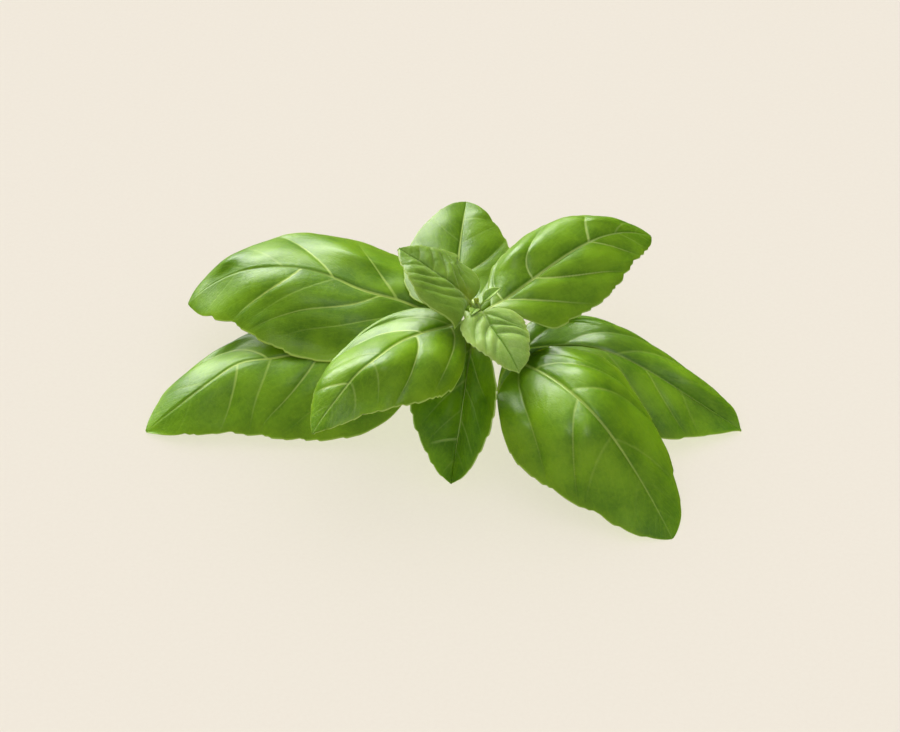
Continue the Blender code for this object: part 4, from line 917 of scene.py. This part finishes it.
# ------------------------------------------------------------------ stem and buds
def make_stem():
    pts = np.array(stem_path())
    seg = np.linalg.norm(np.diff(pts, axis=0), axis=1)
    dist = np.concatenate([[0.0], np.cumsum(seg)])
    n_ring = int(round(dist[-1] / 0.3))
    d = np.linspace(0, dist[-1], n_ring + 1)
    line = np.stack([smooth(d, list(zip(dist, pts[:, i]))) for i in range(3)], -1)
    T = np.gradient(line, axis=0)
    T /= np.linalg.norm(T, axis=1, keepdims=True)
    S = np.array([1.0, 0, 0]) - T * T[:, :1]
    S /= np.linalg.norm(S, axis=1, keepdims=True)
    U = np.cross(S, T)
    depth = 0.9 + d
    n = 72
    ang = 2 * np.pi * np.arange(n) / n
    sect = section_radius(ang)
    # shallow channel down the middle of each side
    off = np.abs((ang / (np.pi / 2) + 0.5) % 1.0 - 0.5)
    sect = sect * (1 - 0.055 * np.exp(-(off / 0.16) ** 2))
    R = stem_radius(depth)[:, None] * sect[None, :]
    A, D = np.meshgrid(ang, depth)
    R = R * (1 + 0.02 * layered(A * 1.9, D / 5.0, 41, 2) + 0.008 * noise(A * 9, D / 2.0, 43))
    for z in sorted({leaf["z"] for leaf in LEAVES.values() if leaf["z"] < 43}):
        dz = (D - (APEX_Z - z))
        R = R + 0.10 * np.exp(-((dz - 0.5) / 0.28) ** 2) - 0.07 * np.exp(-((dz - 1.3) / 0.5) ** 2)
    # the tip closes over
    R = R * np.sqrt(np.clip((D - 0.75) / 0.8, 0.15, 1))
    P = line[:, None, :] + (S[:, None, :] * np.cos(A)[..., None] + U[:, None, :] * np.sin(A)[..., None]) * R[..., None]
    rows = len(d)
    cap_r = [0.985, 0.93, 0.84, 0.72, 0.58, 0.44, 0.3, 0.16]
    cap_h = [0.10, 0.13, 0.04, -0.03, -0.06, -0.02, 0.03, 0.02]
    caps = []
    for r, hgt in zip(cap_r, cap_h):
        rough = 0.05 * noise(ang * 5, np.full(n, r * 9), 77)
        caps.append(line[-1] + (P[-1] - line[-1]) * r + T[-1] * (hgt + rough)[:, None])
    verts = np.concatenate([P.reshape(-1, 3)] + caps + [line[-1:] + T[-1:] * 0.03, line[:1]])
    quads, cutf = [], []
    for i in range(rows - 1):
        for j in range(n):
            j2 = (j + 1) % n
            quads.append((i * n + j, i * n + j2, (i + 1) * n + j2, (i + 1) * n + j))
    start = (rows - 1) * n
    for c in range(len(cap_r)):
        a = start + c * n
        for j in range(n):
            j2 = (j + 1) % n
            quads.append((a + j, a + j2, a + n + j2, a + n + j))
    last = start + len(cap_r) * n
    centre, tip = last + n, last + n + 1
    tris = [(last + j, last + (j + 1) % n, centre) for j in range(n)] + [((j + 1) % n, j, tip) for j in range(n)]
    quads, tris = np.array(quads), np.array(tris)
    nv = len(verts)
    cut = np.zeros(nv)
    cut[start + n:centre + 1] = 1.0
    cut[start + n:start + 2 * n] = 0.35
    radius = np.zeros(nv)
    for c, r in enumerate([1.0] + cap_r):
        radius[start + c * n:start + (c + 1) * n] = r
    dep = np.concatenate([D.ravel(), np.full(nv - rows * n, depth[-1])])
    around = np.concatenate([A.ravel(), np.tile(ang, len(cap_r)), [0, 0]]) / (2 * np.pi)
    alongv = np.concatenate([D.ravel(), np.full(nv - rows * n, depth[-1])])
    corners = np.concatenate([quads.ravel(), tris.ravel()])
    ac = around[corners]
    wrap = np.concatenate([np.repeat((quads % n == 0).any(1) & (quads % n == n - 1).any(1), 4), np.repeat(False, len(tris) * 3)])
    ac = np.where(wrap & (ac < 0.25), ac + 1.0, ac)
    uvs = {"around": np.stack([alongv[corners], ac], -1)}
    verts[:, 2] = np.maximum(verts[:, 2], 0.02)
    ob = new_mesh("stem_skin", verts, quads, tris, [stem_skin()], np.zeros(len(quads) + len(tris)), uvs, {"cut": cut, "depth": dep, "radius": radius})
    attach(ob, "root")
    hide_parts("stem")
    return ob


def bud_parts(foot, lean, height, radius, scales, seed):
    """An egg wrapped in paired scales. Returns verts, quads, tris and lift."""
    def turn(p):
        a = math.radians(lean)
        y, z = p[..., 1].copy(), p[..., 2].copy()
        out = p.copy()
        out[..., 1] = y * math.cos(a) - z * math.sin(a)
        out[..., 2] = y * math.sin(a) + z * math.cos(a)
        return out + np.array(foot)

    verts, quads, tris, painted_light = [], [], [], []
    count = 0
    # core
    nz, na = 26, 40
    t = np.linspace(0, 1, nz)[:, None]
    a = (2 * np.pi * np.arange(na) / na)[None, :]
    prof = np.sin(np.pi * np.clip(t * 0.86 + 0.14, 0, 1)) ** 0.75 * 0.86
    r = radius * prof * (1 + 0.10 * np.cos(4 * a + 3.0 * t) + 0.04 * noise(a * 3, t * 6 + 0 * a, seed))
    p = np.stack([r * np.cos(a), r * np.sin(a), height * 0.9 * t + 0 * a], -1)
    verts.append(turn(p).reshape(-1, 3))
    # painted light: the core is lighter towards its top and darker at its foot
    painted_light.append((0.35 + 0.3 * t + 0 * a).ravel())
    for i in range(nz - 1):
        for j in range(na):
            j2 = (j + 1) % na
            quads.append((i * na + j, i * na + j2, (i + 1) * na + j2, (i + 1) * na + j))
    count = nz * na
    verts.append(turn(np.array([[0, 0, 0.0], [0, 0, height * 0.9]])))
    painted_light.append(np.array([0.3, 0.7]))
    for j in range(na):
        j2 = (j + 1) % na
        tris.append((j2, j, count))
        tris.append(((nz - 1) * na + j, (nz - 1) * na + j2, count + 1))
    count += 2
    # scales: cupped leaflets that hug the core, each a closed two-sided sheet
    for turn_deg, tall, wide, gape in scales:
        ns, nc = 22, 15
        u = np.linspace(0, 1, ns)[:, None]
        v = np.linspace(-1, 1, nc)[None, :]
        half = wide * np.sin(np.pi * np.clip(u, 0, 1) ** 0.7 * 0.93 + 0.1) ** 0.9
        ang = math.radians(turn_deg) + v * half
        core = radius * (np.sin(np.pi * np.clip(u * 0.8 * tall + 0.14, 0, 1)) ** 0.75 * 0.86 + 0.05)
        rr = core + radius * (gape * u**2 + 0.06) - radius * 0.10 * np.exp(-(v / 0.25) ** 2) * (1 - u * 0.5)
        z = height * tall * (u - 0.06 * v**2 * u)
        outer = np.stack([rr * np.cos(ang), rr * np.sin(ang), z + 0 * v], -1)
        rin = rr - radius * 0.13
        inner = np.stack([rin * np.cos(ang), rin * np.sin(ang), z + 0 * v], -1)
        verts.append(turn(outer).reshape(-1, 3))
        verts.append(turn(inner).reshape(-1, 3))
        # painted shade: each scale is darker at its foot, along its edges and on its inner face
        painted_light.append((0.45 + 0.5 * u * (1 - 0.3 * np.abs(v))).ravel())
        painted_light.append((0.35 + 0.5 * u + 0 * v).ravel())
        m = ns * nc
        for i in range(ns - 1):
            for j in range(nc - 1):
                o = count + i * nc + j
                quads.append((o, o + 1, o + nc + 1, o + nc))
                o += m
                quads.append((o, o + nc, o + nc + 1, o + 1))
        ring = ([(0, j) for j in range(nc)] + [(i, nc - 1) for i in range(1, ns)] + [(ns - 1, j) for j in range(nc - 2, -1, -1)] + [(i, 0) for i in range(ns - 2, 0, -1)])
        for g in range(len(ring)):
            (i1, j1), (i2, j2) = ring[g], ring[(g + 1) % len(ring)]
            o1, o2 = count + i1 * nc + j1, count + i2 * nc + j2
            quads.append((o2, o1, o1 + m, o2 + m))
        count += 2 * m
    return np.concatenate(verts), np.array(quads), np.array(tris), np.concatenate(painted_light)


def make_bud(name, node, foot, lean, height, radius, scales, deep, light, seed):
    verts, quads, tris, painted_light = bud_parts(foot, lean, height, radius, scales, seed)
    ob = new_mesh(name, verts, quads, tris, [bud_skin(name + "_skin", deep, light)], np.zeros(len(quads) + len(tris)), {}, {"painted_light": painted_light})
    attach(ob, "root")
    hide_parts(node)
    return ob


# ------------------------------------------------------------------ the object
for number, leaf_name in enumerate(LEAVES):
    make_leaf(leaf_name, 100 + 13 * number)
make_stem()
make_bud("terminal_bud_scales", "terminal_bud", (0.0, axis_y(APEX_Z - 0.5), APEX_Z - 0.9), 8, 2.5, 0.62,
         ((45, 0.95, 0.75, 0.25), (225, 0.9, 0.75, 0.2), (135, 0.75, 0.8, 0.3), (315, 0.7, 0.8, 0.35)), (0.27, 0.36, 0.012), (0.42, 0.52, 0.06), 5)
make_bud("axil_shoot_leaves", "axil_shoot", (0.5, axis_y(34.5) - 1.5, 34.6), 62, 3.4, 0.72,
         ((0, 0.9, 0.8, 0.35), (180, 0.85, 0.8, 0.3), (90, 0.65, 0.7, 0.4)), (0.16, 0.30, 0.03), (0.40, 0.55, 0.16), 9)


# ------------------------------------------------------------------ floor, light and camera
def floor():
    bpy.ops.mesh.primitive_plane_add(size=8.0, location=(0, 0, 0))
    ob = bpy.context.object
    ob.name = "studio_floor"
    k = Nodes("studio_floor_paper")
    tc = k.node("ShaderNodeTexCoord").outputs["Object"]
    tooth = k.noise(tc, 900.0, 3.0, 0.6)
    colour = k.mix(k.ramp(tooth, 0.3, 0.7), (0.845, 0.780, 0.678), (0.855, 0.792, 0.690))
    k.principled(colour, 0.9, k.bump(tooth, 0.00003, 0.4))
    ob.data.materials.append(k.mat)
    ob.visible_glossy = False


def sun(name, azimuth, elevation, strength, angle, colour=(1, 1, 1)):
    """A distant soft box: azimuth and elevation of where it stands."""
    data = bpy.data.lights.new(name, "SUN")
    data.energy = strength
    data.angle = math.radians(angle)
    data.color = colour
    ob = bpy.data.objects.new(name, data)
    bpy.context.scene.collection.objects.link(ob)
    a, e = math.radians(azimuth), math.radians(elevation)
    towards = Vector((math.cos(a) * math.cos(e), math.sin(a) * math.cos(e), math.sin(e)))
    ob.rotation_euler = towards.to_track_quat("Z", "Y").to_euler()
    return ob


def world():
    w = bpy.data.worlds.new("studio")
    bpy.context.scene.world = w
    w.use_nodes = True
    nt = w.node_tree
    bg = nt.nodes["Background"]
    tc = nt.nodes.new("ShaderNodeTexCoord")
    dot = nt.nodes.new("ShaderNodeVectorMath")
    dot.operation = "DOT_PRODUCT"
    up = Vector((-0.25, 0.5, 0.83)).normalized()
    dot.inputs[1].default_value = up
    nt.links.new(tc.outputs["Generated"], dot.inputs[0])
    ramp = nt.nodes.new("ShaderNodeMapRange")
    ramp.interpolation_type = "SMOOTHSTEP"
    for s, val in zip(list(ramp.inputs)[1:5], (-0.3, 1.0, 0.0, 0.04)):
        s.default_value = val
    nt.links.new(dot.outputs["Value"], ramp.inputs[0])
    nt.links.new(ramp.outputs[0], bg.inputs["Strength"])
    bg.inputs["Color"].default_value = (1.0, 0.985, 0.96, 1.0)


def separate_lights(leaf_lights, floor_lights, bare_light):
    """The backdrop has its own even light, so the shadow on it stays faint."""
    scene = bpy.context.scene
    sprig, backdrop = bpy.data.collections.new("sprig_lit"), bpy.data.collections.new("backdrop_lit")
    for ob in scene.objects:
        if ob.type == "MESH":
            (backdrop if ob.name == "studio_floor" else sprig).objects.link(ob)
    for ob in leaf_lights:
        ob.light_linking.receiver_collection = sprig
    for ob in floor_lights:
        ob.light_linking.receiver_collection = backdrop
    bare_light.light_linking.blocker_collection = backdrop


def camera():
    data = bpy.data.cameras.new("camera")
    data.lens = 103.7
    data.sensor_width = 36.0
    data.clip_start = 0.01
    ob = bpy.data.objects.new("camera", data)
    bpy.context.scene.collection.objects.link(ob)
    target = Vector((-7.0 - ORIGIN[0], 0.0 - ORIGIN[1], 22.0)) * MM
    e = math.radians(42)
    ob.location = target + Vector((0, -math.cos(e), math.sin(e))) * 0.700
    ob.rotation_euler = (target - ob.location).to_track_quat("-Z", "Y").to_euler()
    bpy.context.scene.camera = ob


floor()
leaf_lights = [
    sun("key", 114, 27, 5.0, 74),
    sun("sky_dome", 265, 80, 1.9, 175),
    sun("key_soft_box", 116, 22, 3.8, 46),
    sun("top_soft_box", 264, 70, 0.5, 30),
]
for light in leaf_lights[:2]:
    light.visible_glossy = False
for light in leaf_lights[2:]:
    light.visible_diffuse = False
floor_lights = [sun("floor_dome", 90, 86, 0.85, 150), sun("floor_even", 90, 88, 2.33, 40)]
separate_lights(leaf_lights, floor_lights, floor_lights[1])
world()
camera()
bpy.context.scene.view_settings.view_transform = "Standard"
